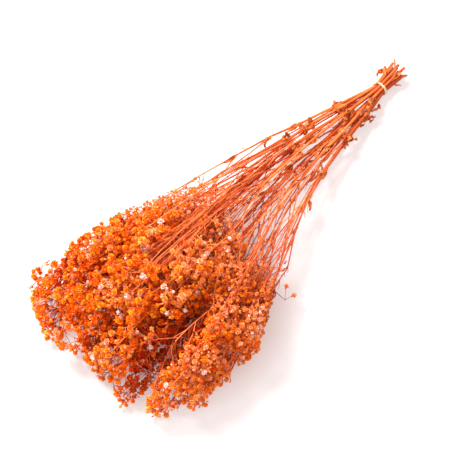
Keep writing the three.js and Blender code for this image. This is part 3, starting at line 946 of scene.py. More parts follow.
@dataclass
class ShootRules:
    """Sizes of the thin shoots between the main stems, in millimetres, degrees and shares."""

    per_joint: tuple = (0.5, 0.7, 0.9, 1.0, 1.0, 0.9)  # how many leave each joint, from the tie
    root: float = 0.66  # of the stem's own radius
    thinnest: float = 0.52
    tip: float = 0.34
    edge: tuple = (8, 11)  # bearings over which more shoots close the gaps at the fan's left edge
    at_edge: float = 1.3
    ends: tuple = (262, 352)
    shortest: float = 90
    stretch: float = 20  # the least stretch over which a shoot may end
    sideways: float = 6.5  # degrees, seen from the tie
    rise: tuple = (-16, 18)
    step: float = 22
    kink: float = 1.1
    lowest: float = 1.2
    under_top: float = 3
    sides: int = 5
    thinner: float = 0.85  # a fork's share of the radius where it leaves its shoot
    forked: float = 0.65
    fork_at: tuple = (0.3, 0.55)
    trials: int = 8
    settled: float = 120  # from the tie, where the fan has opened
    window: tuple = (1.4, 5.4)  # bearings between which stems show through the head's top
    window_ends: tuple = (318, 374)
    window_levels: tuple = (0.62, 0.95)  # shares of the head's height
    window_nearby: float = 7.5  # only stems this near the window, in degrees, reach it
    window_most: int = 5
    window_joints: tuple = (130, 250)


@dataclass
class Shoots:
    """Thin side shoots, which run from the lower joints up between the stems into the head."""

    growth: Growth
    rules: ShootRules
    runs: list[Run] = field(default_factory=list)
    tips: list[tuple[int, Point, Point]] = field(default_factory=list)  # stem, place and direction

    def aim(self, stem: int, place: tuple, start: float, window: bool) -> tuple[float, Point]:
        """Where a shoot ends.

        Args:
            stem: The stem that it grows from.
            place: Whole numbers for its draws.
            start: How far from the tie it starts.
            window: Whether it runs through the window in the head's top.

        Returns:
            How far from the tie it ends, and the step there from its stem's own line.
        """
        rules = self.rules
        rolls = draws(3, Draw.SIDE_SHOOT, *place)
        if window:
            spans = (rules.window_ends, rules.window, rules.window_levels)
            end, bearing, level = (part_way(span, roll) for span, roll in zip(spans, rolls))
            turn, height = bearing * DEGREE, level * self.growth.head.top_on(bearing, end)
            tip = np.array((-end * math.cos(turn), end * math.sin(turn), height))
            return end, tip - self.growth.stem_point(stem, end)
        nearest = max(rules.ends[0], start + rules.shortest)
        end = nearest + max(rules.stretch, rules.ends[1] - nearest) * rolls[0]
        aside = rules.sideways * DEGREE * end * (2 * rolls[1] - 1)
        return end, np.array((0, aside, part_way(rules.rise, rolls[2])))

    def line(
        self, stem: int, place: tuple, root: Point, start: float, end: float, aside: Point
    ) -> Line:
        """A shoot's line: it parts from its stem, then keeps beside it with small kinks.

        Args:
            stem: The stem that it grows from.
            place: Whole numbers for its draws.
            root: Where it starts.
            start: How far that is from the tie.
            end: How far from the tie it ends.
            aside: The step at its end from its stem's own line.

        Returns:
            The line's points.
        """
        stem_point, kink = self.growth.stem_point, self.rules.kink
        steps = max(3, round((end - start) / self.rules.step))
        shift = root - stem_point(stem, start)
        points = [root]
        for i in range(1, steps + 1):
            t = i / steps
            parted = 1 - (1 - t) ** 2
            kinks = [between(-kink, kink, Draw.SIDE_SHOOT, *place, 10 + 2 * i + j) for j in (0, 1)]
            point = stem_point(stem, start + (end - start) * t) + shift * (1 - t) + aside * parted
            point += np.array((0, *kinks))
            point[2] = max(point[2], self.rules.lowest)
            points.append(point)
        return points

    def fits(self, points: Line) -> bool:
        """Whether a line keeps to the fan, and under the head's top.

        Args:
            points: The line's points.

        Returns:
            True where it does.
        """
        head = self.growth.head
        for p in points:
            bearing, reach = head.place(p)
            if reach > self.rules.settled and not head.in_fan(p):
                return False
            if reach > head.start_on(bearing) and p[2] > head.top_on(bearing, reach) - self.rules.under_top:
                return False
        return True

    def gap(self, points: Line, radius: float) -> float:
        """How far a line keeps from the wood that is there already.

        Args:
            points: The line's points.
            radius: Its radius.

        Returns:
            The narrowest gap in millimetres.
        """
        rods = self.growth.rods
        n = rods.count
        least = math.inf
        for p, q in zip(points[1:], points[2:]):
            far = span_distances(p, q, rods.a[:n], rods.b[:n]) - rods.radius[:n]
            least = min(least, float(far.min()) - radius)
        return least

    def add(
        self, stem: int, place: tuple, root: Point, start: float, radius: float, again: bool, window: bool
    ) -> None:
        """Grows one shoot along the clearest line that it finds, and perhaps a second from it.

        Args:
            stem: The stem that it grows from.
            place: Whole numbers for its draws.
            root: Where it starts.
            start: How far that is from the tie.
            radius: Its radius there.
            again: Whether it may fork.
            window: Whether it runs through the window in the head's top.
        """
        rules = self.rules
        best: tuple[float, Line] | None = None
        for trial in range(rules.trials):
            own = (*place, trial)
            end, aside = self.aim(stem, own, start, window)
            points = self.line(stem, own, root, start, end, aside)
            if not self.fits(points):
                continue
            gap = self.gap(points, radius)
            if not best or gap > best[0]:
                best = (gap, points)
        if not best:
            return
        points = best[1]
        last = len(points) - 1
        radii = [radius + (rules.tip - radius) * i / last for i in range(last + 1)]
        self.growth.rods.add(stem, stem, points, radii)
        self.runs.append(Run(stem, points, radii, rules.sides))
        self.tips.append((stem, points[-1], unit(points[-1] - points[-2])))
        if again and draw(Draw.SIDE_SHOOT, *place, 60) < rules.forked:
            at = max(1, round(last * between(*rules.fork_at, Draw.SIDE_SHOOT, *place, 61)))
            thick = radii[at] * rules.thinner
            self.add(stem, (*place, 62), points[at], -points[at][0], thick, False, False)

    def grow(self) -> None:
        """Grows every shoot of every stem."""
        rules, stem_point = self.rules, self.growth.stem_point
        for number, usual in enumerate(rules.per_joint):
            for stem, joints in enumerate(self.growth.joints):
                distance, root = joints[number]
                bearing = self.growth.head.place(stem_point(stem, rules.ends[0]))[0]
                expected = usual + rules.at_edge * smooth(*rules.edge, bearing)
                radius = max(rules.thinnest, rules.root * Growth.stem_radius(distance))
                for i in range(int(expected + draw(Draw.SIDE_SHOOT, stem, number, 50))):
                    self.add(stem, (stem, number, i), root, distance, radius, True, False)

    def grow_through_window(self) -> None:
        """Grows more shoots from the nearby stems, close together under the window."""
        rules = self.rules
        middle = sum(rules.window) / 2
        for stem, joints in enumerate(self.growth.joints):
            far = self.growth.stem_point(stem, rules.window_ends[0])
            usable = [joint for joint in joints if rules.window_joints[0] < joint[0] < rules.window_joints[1]]
            if abs(self.growth.head.place(far)[0] - middle) > rules.window_nearby or not usable:
                continue
            for i in range(rules.window_most):
                distance, root = usable[i % len(usable)]
                self.add(stem, (stem, 70, i), root, distance, rules.thinnest, False, True)


@dataclass
class BarbRules:
    """Sizes of the small dry bits that stick out of bare wood, in millimetres and shares."""

    reach: tuple = (16, 330)  # where the wood is bare
    apart: float = 10
    length: tuple = (1.8, 5.2)
    hook: float = 2.0  # how much longer the few hooked ones are
    hooked: float = 0.28
    hook_turn: tuple = (1.5, 0.7)  # how much of its lean and of the wood's direction a hook's end takes
    lean: tuple = (0.35, 1.1)
    radius: float = 0.4
    tip: float = 0.16
    lowest: float = 0.6


def grow_barbs(rods: Rods, rules: BarbRules) -> list[Run]:
    """Scale leaves and broken stalks along the bare wood.

    Args:
        rods: The wood.
        rules: Their sizes.

    Returns:
        One short run for each.
    """
    runs = []
    for n in range(rods.count):
        a, b, stem = rods.a[n], rods.b[n], int(rods.stem[n])
        reach = math.hypot(*(a + b)[:2]) / 2
        if not rules.reach[0] < reach < rules.reach[1] or a[0] > 0:
            continue
        length = math.dist(a, b)
        way = (b - a) / length
        for i in range(int(length / rules.apart + draw(Draw.BARB, n, 1))):
            own = (n, 10 + i)
            root = a + way * (length * draw(Draw.BARB, *own, 2))
            outward = square(way, 2 * math.pi * draw(Draw.BARB, *own, 3))
            lean = unit(way + outward * between(*rules.lean, Draw.BARB, *own, 4))
            out = between(*rules.length, Draw.BARB, *own, 5)
            points = [root, root + lean * out]
            if draw(Draw.BARB, *own, 6) < rules.hooked:
                turned = lean * rules.hook_turn[0] + way * rules.hook_turn[1]
                points.append(root + turned * (out * rules.hook / 2))
            if min(p[2] for p in points) < rules.lowest:
                continue
            middle = [(rules.radius + rules.tip) / 2] if len(points) > 2 else []
            radii = [rules.radius, *middle, rules.tip]
            runs.append(Run(stem, points, radii, 3))
    return runs


@dataclass
class TangleRules:
    """Sizes of the thin bare twigs that hang down inside the head, in millimetres and shares."""

    reach: tuple = (235, 405)
    height: tuple = (8, 62)
    per_span: float = 1.2
    in_cleft: float = 6.0
    forward: tuple = (6, 24)
    aside: float = 11
    foot: tuple = (1.5, 12)
    radii: tuple = (0.36, 0.3, 0.2)
    bow: float = 2.0
    room: float = 1.0
    lowest: float = 1.0


def grow_tangle(rods: Rods, head: Head, rules: TangleRules) -> list[Run]:
    """Thin twigs from the wood in the head down towards the surface.

    Args:
        rods: The wood.
        head: The head that they keep to.
        rules: Their sizes.

    Returns:
        One run for each.
    """
    runs = []
    for n in range(rods.count):
        a, b = rods.a[n], rods.b[n]
        reach = math.hypot(*(a + b)[:2]) / 2
        if not (rules.reach[0] < reach < rules.reach[1] and rules.height[0] < a[2] < rules.height[1]):
            continue
        expected = rules.per_span + rules.in_cleft * head.cleft_at(*head.place((a + b) / 2))
        for i in range(int(expected + draw(Draw.TANGLE, n, 1))):
            own = (n, 10 + i)
            root = a + (b - a) * draw(Draw.TANGLE, *own, 2)
            tip = root + unit(np.array((root[0], root[1], 0))) * between(*rules.forward, Draw.TANGLE, *own, 3)
            tip[1] += between(-rules.aside, rules.aside, Draw.TANGLE, *own, 4)
            tip[2] = min(root[2], between(*rules.foot, Draw.TANGLE, *own, 5))
            middle = (root + tip) / 2 + any_direction(Draw.TANGLE, *own, 6) * rules.bow
            if head.holds(tip, rules.room) and middle[2] > rules.lowest:
                runs.append(Run(int(rods.stem[n]), [root, middle, tip], list(rules.radii), 3))
    return runs


@dataclass
class SprayRules:
    """Sizes of a spray, in millimetres and shares."""

    setback: float = 6.0  # from a solid's bloom back to the spray's first fork
    ball: float = 9.0  # how far from the spray's middle its blooms stand
    trials: int = 60
    most: int = 10
    bloom: tuple = (2.85, 4.15)
    at_start: float = 0.5  # the blooms nearest the stems are smaller
    thin_start: float = 0.4  # and that much fewer
    at_right: float = 0.88  # those of the right lobe are small too, and those of the left edge
    at_left: float = 0.72
    thin_left: float = 0.25
    right: tuple = (-11, -5)  # bearings over which the right lobe ends
    left: tuple = (9, 14, 305, 360)  # where the left edge starts, in degrees, and ends, in reach
    start_depth: float = 85
    thin_window: float = 1.3  # how bare the head is where the stems show through its top
    window: tuple = (3.4, 2.3, 318, 350)  # bearing, width, and the reach over which it closes
    window_depth: tuple = (0.12, 0.35)  # share of the head's height over which it opens
    paler: float = 0.13  # share of pale blooms everywhere, at the head's start and at its sides
    paler_start: float = 0.8
    paler_sides: float = 0.55
    paler_middle: float = 0.5
    middle: tuple = (-2.5, 4.5, 305, 40)  # the pale middle's bearing and reach, each with a width
    paler_clump: float = 1.3  # and how much of a clump turns pale with the clump's own dye
    buried: tuple = (14, 46)  # depth in the head over which the painted shade darkens the blooms
    from_front: tuple = (6, 36)
    from_sides: tuple = (0, 3.5)  # in degrees
    # painted shade: blooms deep in the head, and more in its cleft, get a darker colour
    deeper: float = 0.32
    deeper_cleft: float = 0.85
    aside: float = 4.5  # how far beside a place a cleft's walls are looked for, in degrees
    closed_from: float = 0.5  # blooms buried further than this never opened fully
    swollen: float = 1.25  # and are closed balls, which fill the room there
    # painted shade in the valleys between the clumps
    painted_valley_shade: float = 0.3
    clump_dye: float = 0.12
    clumps: tuple = (9, 15, 8, 11)  # lengths of the dye's waves along X and Y, and along Y and Z
    tones: float = 0.08  # how much whole sprays differ
    lit: tuple = (0.7, 0.7)  # how lit the right lobe is, and how much of the painted shade the light there takes away
    white: tuple = (0.035, 0.02, 0.1)  # share of nearly white blooms, their least dye and its range
    pale: tuple = (0.3, 0.22, 0.8)  # of pale blooms: least dye, its range and how much of the painted shade shows
    full: float = 0.68  # the least dye of the full blooms, and how much paler they are on the head's top
    full_range: float = 0.3
    full_tone: float = 1.4
    amber_top: float = 0.1
    amber_until: tuple = (350, 395)
    wisps: int = 3  # bare stalks of a spray
    wisp: tuple = (4.0, 9.5)
    wisp_radii: tuple = (0.27, 0.16)
    wisp_way: float = 0.7  # how much a wisp keeps to its stalk's direction
    wisp_lowest: float = 1
    wisp_room: float = 0.5
    half_open: float = 0.8
    bud: float = 0.42
    share_of_buds: float = 0.12
    share_half_open: float = 0.22
    closeness: float = 0.82  # neighbouring petals may interlock a little
    wood_room: float = 0.8  # shares of a bloom's radius that keep clear of wood and of stalks
    stalk_room: float = 0.7
    over_floor: float = 0.15
    stalk_radii: tuple = (0.3, 0.24, 0.27)
    twig_radii: tuple = (0.42, 0.36, 0.3)
    twig_sides: int = 4
    own_wood: float = 0.5  # wood that ends this near a spray's middle carries it
    inner: float = 0.4  # less than 1 puts more of the blooms on the outside of the ball
    ahead: float = 1.2
    slack: float = 1  # how much longer a stalk is than its bloom's radius, at least
    turned: float = 0.1  # the least cosine between a stalk and the one that it leaves
    forking: float = 5.2  # stalks longer than this fork at half their length
    nod: float = 0.3  # how far a bloom turns away from its stalk
    under_bloom: float = 0.86  # where the stalk meets the calyx, in radii under the middle
    stalk_bow: float = 0.05
    stray_bow: float = 1.5
    stray_size: float = 0.9
    stray_tone: float = 0.05
    filler_trials: int = 20000
    filler_ball: float = 6.4
    filler_most: int = 6
    filler_reach: tuple = (7, 28)
    filler_gap: float = 5.6
    filler_from: float = 45  # how far before the head's start its wood may carry filling
    filler_outer: float = 0.7  # less than 1 puts more of the filling near the front
    filler_thin: float = 1.2  # how strongly bareness thins it
    filler_root: tuple = (0.05, 0.95)  # shares of a stretch of wood from which a twig may grow
    filler_ahead: float = 0.35  # the least cosine between a twig and its wood
    filler_fork: tuple = (5.0, 0.45)  # from the spray's middle back to its fork, and the most as a share
    filler_room: float = 0.4
    filler_bow: float = 0.04
    lowest: float = 3.0
    downwards: float = 1.8  # more than 1 puts more of the filling low in the head
    near: float = 30
    ridges: tuple = (1.05, 1.5, 30, 0.6)  # clumps across the head: rate, sway, the sway's length and start
    rows: tuple = (15, 1.2, 0.6)  # clumps along the head: length, sway and the sway's rate
    valleys: tuple = (0.3, 0.95, 0.75, 0.5)  # where a valley starts and is full, and the weight of each wave
    valley_depth: float = 0.34  # between two clumps, as a share of the head's height
    bay_depth: float = 11
    shoot_numbers: int = 600  # the first spray number of the side shoots, of the filling and of the strays
    filler_numbers: int = 1000
    stray_numbers: int = 6000


@dataclass
class Sprays:
    """Breaks each bloom of the solids up into a spray, and fills the head between them."""

    growth: Growth
    head: Head
    rules: SprayRules
    blooms: list[BloomPlace] = field(default_factory=list)
    runs: list[Run] = field(default_factory=list)
    centres: Rows = field(default_factory=lambda: np.zeros((8192, 3)))  # of the blooms
    sizes: Rows = field(default_factory=lambda: np.zeros(8192))

    @property
    def rods(self) -> Rods:
        """All the wood."""
        return self.growth.rods

    def stage_of(self, place: int, scale: float) -> tuple[Stage, float]:
        """How far a bloom has opened, and its radius.

        Args:
            place: The bloom's own number.
            scale: How large the blooms are there.

        Returns:
            The stage and the radius.
        """
        rules, roll = self.rules, draw(Draw.SPRAY, place, 5)
        size = between(*rules.bloom, Draw.BLOOM_SIZE, place, 7) * scale
        if roll < rules.share_of_buds:
            return Stage.BUD, size * rules.bud
        if roll < rules.share_of_buds + rules.share_half_open:
            return Stage.HALF, size * rules.half_open
        return Stage.OPEN, size

    def right_lobe(self, bearing: float) -> float:
        """1 on the head's right lobe, 0 left of the cleft."""
        return 1 - smooth(*self.rules.right, bearing)

    def left_edge(self, bearing: float, reach: float) -> float:
        """1 on the head's left edge, as far as its front."""
        return smooth(*self.rules.left[:2], bearing) * (1 - smooth(*self.rules.left[2:], reach))

    def near_start(self, p: Point) -> float:
        """1 where the head starts, falling to 0 well inside it.

        Args:
            p: The place.

        Returns:
            The share.
        """
        bearing, reach = self.head.place(p)
        start = self.head.start_on(bearing)
        return 1 - smooth(start, start + self.rules.start_depth, reach)

    def bareness(self, p: Point) -> float:
        """Share of the blooms that are missing at a place: near the head's start and in its window.

        Args:
            p: The place.

        Returns:
            The share.
        """
        rules = self.rules
        bearing, reach = self.head.place(p)
        middle, width, closing, closed = rules.window
        window = rules.thin_window * bump(bearing, middle, width) * (1 - smooth(closing, closed, reach))
        high = smooth(*rules.window_depth, p[2] / self.head.top_on(bearing, reach))
        thin = max(rules.thin_start * self.near_start(p), rules.thin_left * self.left_edge(bearing, reach))
        return min(1.0, max(thin, window * high))

    def buried(self, p: Point, aside: float) -> float:
        """How deep a place lies under the head's surface, from 0 to 1.

        Args:
            p: The place.
            aside: How far to each side the surface is looked for, in degrees: a cleft then counts as deep.

        Returns:
            The share.
        """
        bearing, reach = self.head.place(p)
        top = max(self.head.top_on(bearing + side * aside, reach) for side in (-1, 0, 1))
        inside = smooth(*self.rules.from_front, self.head.reach_on(bearing) - reach)
        inside *= smooth(*self.rules.from_sides, min(SIZES.fan_left - bearing, bearing - SIZES.fan_right))
        return inside * smooth(*self.rules.buried, top - p[2])

    def valley(self, bearing: float, reach: float) -> float:
        """1 in the valleys between the clumps of the head, 0 on the clumps.

        Args:
            bearing: In degrees from -X, above 0 to the left.
            reach: How far from the tie.

        Returns:
            The share.
        """
        rate, sway, length, start = self.rules.ridges
        ridge = math.sin(rate * bearing + sway * math.sin(reach / length + start))
        length, sway, rate = self.rules.rows
        row = math.sin(reach / length + sway * math.sin(rate * bearing))
        low, deep, across, onwards = self.rules.valleys
        return smooth(low, deep, -across * ridge - onwards * row)

    def patch(self, p: Point) -> float:
        """Whole clumps take the dye a little more or less: a slow wave through the head."""
        a, b, c, d = self.rules.clumps
        return self.rules.clump_dye * (math.sin(p[0] / a + p[1] / b) + math.sin(p[1] / c - p[2] / d + 2))

    def is_free(self, centre: Point, size: float, rods: Rows) -> bool:
        """Whether a bloom fits at centre, in the head and clear of blooms and wood.

        Args:
            centre: The bloom's middle.
            size: The bloom's radius.
            rods: Numbers of the wood nearby.

        Returns:
            True where it fits.
        """
        if centre[2] < size + self.rules.over_floor or not self.head.holds(centre, size):
            return False
        n = len(self.blooms)
        gaps = ((self.centres[:n] - centre) ** 2).sum(1)
        if (gaps < (self.rules.closeness * (self.sizes[:n] + size)) ** 2).any():
            return False
        to_wood = point_distances(centre, self.rods.a[rods], self.rods.b[rods])
        return not (to_wood < self.rules.wood_room * size + self.rods.radius[rods]).any()

    def stalk_is_free(self, start: Point, end: Point) -> bool:
        """Whether a thin stalk passes between the blooms.

        Args:
            start: Where it starts.
            end: Where it ends.

        Returns:
            True where it does.
        """
        n = len(self.blooms)
        room = self.rules.stalk_room * self.sizes[:n]
        return not (point_to_span(self.centres[:n], start, end) < room).any()

    def grow_spray(
        self, stem: int, number: int, fork: Point, facing: Point, centre: Point, ball: float, most: int
    ) -> int:
        """Blooms in a ball round centre, each on a stalk from the fork or from another stalk.

        Args:
            stem: The stem that they belong to.
            number: The spray's own number, for its draws.
            fork: Where the spray starts.
            facing: Which way the spray grows.
            centre: The middle of its ball.
            ball: Radius that the blooms' middles keep to.
            most: The most blooms that it gets.

        Returns:
            How many blooms it got.
        """
        rules = self.rules
        nodes = [(fork, facing)]
        reach = self.rods.a[: self.rods.count] - centre
        rods = np.nonzero((reach * reach).sum(1) < rules.near**2)[0]
        rods = rods[np.sqrt(((self.rods.b[rods] - centre) ** 2).sum(1)) > rules.own_wood]
        tone = between(-rules.tones, rules.tones, Draw.DYE, number) + self.patch(centre)
        scale = 1 - (1 - rules.at_start) * self.near_start(centre)
        bearing, from_tie = self.head.place(centre)
        scale *= 1 - (1 - rules.at_right) * self.right_lobe(bearing)
        scale *= 1 - (1 - rules.at_left) * self.left_edge(bearing, from_tie)
        most = round(most * (1 - self.bareness(centre)))
        grown = 0
        for trial in range(rules.trials):
            if grown >= most:
                break
            place = number * 64 + trial
            stage, size = self.stage_of(place, scale)
            out = ball * draw(Draw.SPRAY, place, 3) ** rules.inner if trial else 0
            middle = centre + facing * rules.ahead + any_direction(Draw.SPRAY, place) * out
            if not self.is_free(middle, size, rods):
                continue
            if stage is not Stage.BUD and self.buried(middle, rules.aside) > rules.closed_from:
                stage, size = Stage.HALF, min(size * rules.swollen, middle[2] - rules.over_floor)
            for start, way in sorted(nodes, key=lambda node: math.dist(node[0], middle)):
                step = middle - start
                length = math.sqrt(step @ step)
                if length < size + rules.slack or step @ way < rules.turned * length:
                    continue
                if not self.stalk_is_free(start, middle - step * (size / length)):
                    continue
                self.add_bloom(stem, place, start, middle, size, stage, tone)
                if length > rules.forking:
                    nodes.append((start + step * 0.5, step / length))
                grown += 1
                break
        for i in range(rules.wisps if grown else 0):
            self.add_wisp(stem, (number, i), *nodes[i % len(nodes)])
        return grown

    def add_wisp(self, stem: int, place: tuple, start: Point, way: Point) -> None:
        """A bare stalk between the blooms, which has lost its own.

        Args:
            stem: The stem's number.
            place: Whole numbers for its draws.
            start: Where it starts.
            way: The direction of the stalk that it leaves.
        """
        rules = self.rules
        length = between(*rules.wisp, Draw.WISP, *place, 1)
        end = start + unit(way * rules.wisp_way + any_direction(Draw.WISP, *place)) * length
        inside = end[2] > rules.wisp_lowest and self.head.holds(end, rules.wisp_room)
        if inside and self.stalk_is_free(start, end):
            self.runs.append(Run(stem, [start, end], list(rules.wisp_radii), 3))

    def add_bloom(
        self, stem: int, place: int, start: Point, centre: Point, size: float, stage: Stage, tone: float
    ) -> None:
        """One bloom on its stalk, which bows a little.

        Args:
            stem: The stem's number.
            place: The bloom's own number.
            start: Where its stalk starts.
            centre: The bloom's middle.
            size: The bloom's radius.
            stage: How far it has opened.
            tone: How much dye its spray took, more or less.
        """
        rules = self.rules
        facing = unit(unit(centre - start) + any_direction(Draw.BLOOM_TURN, place) * rules.nod)
        base = centre - facing * (rules.under_bloom * size)
        bow = any_direction(Draw.BLOOM_TURN, place, 1) * (rules.stalk_bow * math.dist(start, base))
        middle = start + (base - start) * 0.5 + bow
        self.runs.append(Run(stem, [start, middle, base], list(rules.stalk_radii), 3))
        n = len(self.blooms)
        self.centres[n], self.sizes[n] = centre, size
        dye = self.dye_of(place, centre, tone)
        self.blooms.append(BloomPlace(stem, centre, facing, size, stage, dye, place))

    def dye_of(self, place: int, centre: Point, tone: float) -> float:
        """How much dye a bloom took, most full, some pale and a few nearly white, with painted shade added
        deep in the head.

        Args:
            place: The bloom's own number.
            centre: The bloom's middle.
            tone: How much dye its spray took, more or less.

        Returns:
            1 for full dye, 0 for white, and above 1 where painted shade darkens it.
        """
        rules, roll, taken = self.rules, draw(Draw.DYE, place, 1), draw(Draw.DYE, place, 2)
        bearing, reach = self.head.place(centre)
        at_sides = max(self.right_lobe(bearing), self.left_edge(bearing, reach))
        at_middle = bump(bearing, *rules.middle[:2]) * bump(reach, *rules.middle[2:])
        paler = rules.paler_start * self.near_start(centre) + rules.paler_sides * at_sides
        paler += rules.paler_middle * at_middle
        # painted shade: a darker colour deep under the head's top, in its cleft and between clumps, less on
        # the lit right lobe and middle
        deep, in_cleft = self.buried(centre, 0), self.buried(centre, rules.aside)
        deeper = rules.deeper * deep + rules.deeper_cleft * (in_cleft - deep)
        lit = max(at_middle, rules.lit[0] * self.right_lobe(bearing))
        deeper = (deeper + rules.painted_valley_shade * self.valley(bearing, reach)) * (1 - rules.lit[1] * lit)
        # the clumps' own tone fades where the painted shade lies
        tone *= 1 - max(deep, in_cleft)
        share, least, spread = rules.white
        if roll < share:
            return least + spread * taken
        if roll < rules.paler + paler - rules.paler_clump * tone:
            least, spread, shown = rules.pale
            return least + spread * taken + tone + shown * deeper
        least = rules.full - rules.amber_top * (1 - smooth(*rules.amber_until, reach))
        return min(1.0, least + rules.full_range * taken + rules.full_tone * tone) + deeper

    def break_up(self) -> None:
        """Gives each bloom of the solids its spray."""
        rules = self.rules
        for number, limb in enumerate(self.growth.limbs):
            facing = unit(limb.points[-1] - limb.points[-2])
            fork = limb.centre - facing * rules.setback
            self.grow_spray(limb.stem, number, fork, facing, limb.centre, rules.ball, rules.most)

    def end_shoots(self, shoots: Shoots) -> None:
        """Gives each side shoot a small spray at its tip.

        Args:
            shoots: The side shoots.
        """
        rules = self.rules
        for number, (stem, tip, facing) in enumerate(shoots.tips, rules.shoot_numbers):
            centre = tip + facing * rules.setback
            self.grow_spray(stem, number, tip, facing, centre, rules.filler_ball, rules.filler_most)

    def add_stray(self, number: int, fork: tuple, centres: tuple) -> None:
        """A twig that has strayed from the head: from the nearest wood to its fork and blooms.

        Args:
            number: Its own number.
            fork: Where its blooms' stalks start.
            centres: Middles of its blooms.
        """
        rods, rules, place = self.rods, self.rules, np.array(fork)
        far = np.where(rods.limb[: rods.count] >= 0, point_distances(place, *rods.ends()), np.inf)
        nearest = int(np.argmin(far))
        a, b, stem = rods.a[nearest], rods.b[nearest], int(rods.stem[nearest])
        root = a + (b - a) * min(1.0, max(0.0, (place - a) @ (b - a) / ((b - a) @ (b - a))))
        kink = (root + place) / 2 + any_direction(Draw.WISP, number, 40) * rules.stray_bow
        self.runs.append(Run(stem, [root, kink, place], list(rules.twig_radii), rules.twig_sides))
        for i, centre in enumerate(centres):
            own = (rules.stray_numbers + number) * 64 + i
            size = between(*rules.bloom, Draw.BLOOM_SIZE, own, 7) * rules.stray_size
            self.add_bloom(stem, own, place, np.array(centre), size, Stage.OPEN, rules.stray_tone)

    def filler_place(self, trial: int) -> Point:
        """A place in the head, under the valleys between its clumps.

        Args:
            trial: Number of the trial.

        Returns:
            The place.
        """
        rules, roll = self.rules, draws(3, Draw.FILLER, trial)
        bearing = part_way((SIZES.fan_right, SIZES.fan_left), roll[0])
        front = self.head.reach_on(bearing)
        reach = part_way((self.head.start_on(bearing), front), roll[1] ** rules.filler_outer)
        valley = self.valley(bearing, reach) * (1 - min(1.0, 2 * self.head.cleft_at(bearing, reach)))
        reach = min(reach, front - rules.bay_depth * valley)
        top = self.head.top_on(bearing, reach) * (1 - rules.valley_depth * valley)
        height = part_way((rules.lowest, top), roll[2] ** rules.downwards)
        turn = bearing * DEGREE
        return np.array((-reach * math.cos(turn), reach * math.sin(turn), height))

    def fill(self) -> None:
        """Fine twigs with a few blooms each, in what is left empty of the head."""
        rules, rods = self.rules, self.rods
        wood = rods.count
        in_reach = -rods.a[:wood, 0] > SIZES.head_start - rules.filler_from
        usable = np.nonzero((rods.limb[:wood] >= 0) & in_reach)[0]
        a, b = rods.a[usable], rods.b[usable]
        ways = (b - a) / np.sqrt(((b - a) ** 2).sum(1))[:, None]
        for trial in range(rules.filler_trials):
            centre = self.filler_place(trial)
            n = len(self.blooms)
            if (((self.centres[:n] - centre) ** 2).sum(1) < rules.filler_gap**2).any():
                continue
            if draw(Draw.FILLER, trial, 4) < rules.filler_thin * self.bareness(centre):
                continue
            share = np.clip(((centre - a) * (b - a)).sum(1) / ((b - a) ** 2).sum(1), *rules.filler_root)
            roots = a + (b - a) * share[:, None]
            steps = centre - roots
            lengths = np.sqrt((steps * steps).sum(1))
            forward = (steps * ways).sum(1) > rules.filler_ahead * lengths
            fits = forward & (lengths > rules.filler_reach[0]) & (lengths < rules.filler_reach[1])
            if not fits.any():
                continue
            best = int(np.argmin(np.where(fits, lengths, np.inf)))
            root, step, length = roots[best], steps[best], float(lengths[best])
            stem, limb = int(rods.stem[usable[best]]), int(rods.limb[usable[best]])
            facing = step / length
            fork = centre - facing * min(rules.filler_fork[0], rules.filler_fork[1] * length)
            if not self.stalk_is_free(root, fork):
                continue
            others = np.nonzero((rods.limb[:wood] != limb))[0]
            gaps = span_distances(root, fork, rods.a[others], rods.b[others]) - rods.radius[others]
            if (gaps < rules.filler_room).any():
                continue
            number = rules.filler_numbers + trial
            if self.grow_spray(stem, number, fork, facing, centre, rules.filler_ball, rules.filler_most):
                bow = any_direction(Draw.FILLER, trial, 9) * (rules.filler_bow * length)
                points = [root, (root + fork) / 2 + bow, fork]
                self.runs.append(Run(stem, points, list(rules.twig_radii), rules.twig_sides))


# ---------------------------------------------------------------- shapes


def turned_to(direction: Point) -> Quaternion:
    """The turn that takes +Z to a direction."""
    return UP_VECTOR.rotation_difference(Vector(direction))


def add_run(bm: Mesh, points: Line, radii: list[float], sides: int, turn: float = 0) -> None:
    """Extrudes a round run along some points, closed at both ends.

    Args:
        bm: The mesh that it is added to.
        points: Middle of each ring.
        radii: Radius of each ring.
        sides: Sides of a ring.
        turn: How far the first ring is turned round the run, in radians.
    """
    ways = ways_along(points)
    pose = turned_to(ways[0]) @ Quaternion((0, 0, 1), turn)
    places = []
    for i, (point, radius) in enumerate(zip(points, radii)):
        if i:
            pose = Vector(ways[i - 1]).rotation_difference(Vector(ways[i])) @ pose
        places.append(Matrix.LocRotScale(Vector(point), pose, Vector((radius,) * 3)))
    made = bmesh.ops.create_circle(bm, cap_ends=True, segments=sides, radius=1, matrix=places[0])
    face = made["verts"][0].link_faces[0]
    for i in range(1, len(places)):
        out = bmesh.ops.extrude_face_region(bm, geom=[face], use_keep_orig=i == 1)["geom"]
        verts = [g for g in out if isinstance(g, bmesh.types.BMVert)]
        face = next(g for g in out if isinstance(g, bmesh.types.BMFace))
        bmesh.ops.transform(bm, matrix=places[i] @ places[i - 1].inverted(), verts=verts)


def end_mesh(bm: Mesh, name: str, recalculate: bool = True, place: Matrix | None = None) -> bpy.types.Mesh:
    """Turns what was built into a mesh.

    Args:
        bm: What was built.
        name: The mesh's name.
        recalculate: Whether all its faces are turned outwards first.
        place: Where it goes.

    Returns:
        The mesh.
    """
    if recalculate:
        bmesh.ops.recalc_face_normals(bm, faces=bm.faces)
    if place:
        bmesh.ops.transform(bm, matrix=place, verts=bm.verts)
    mesh = bpy.data.meshes.new(name)
    bm.to_mesh(mesh)
    bm.free()
    return mesh


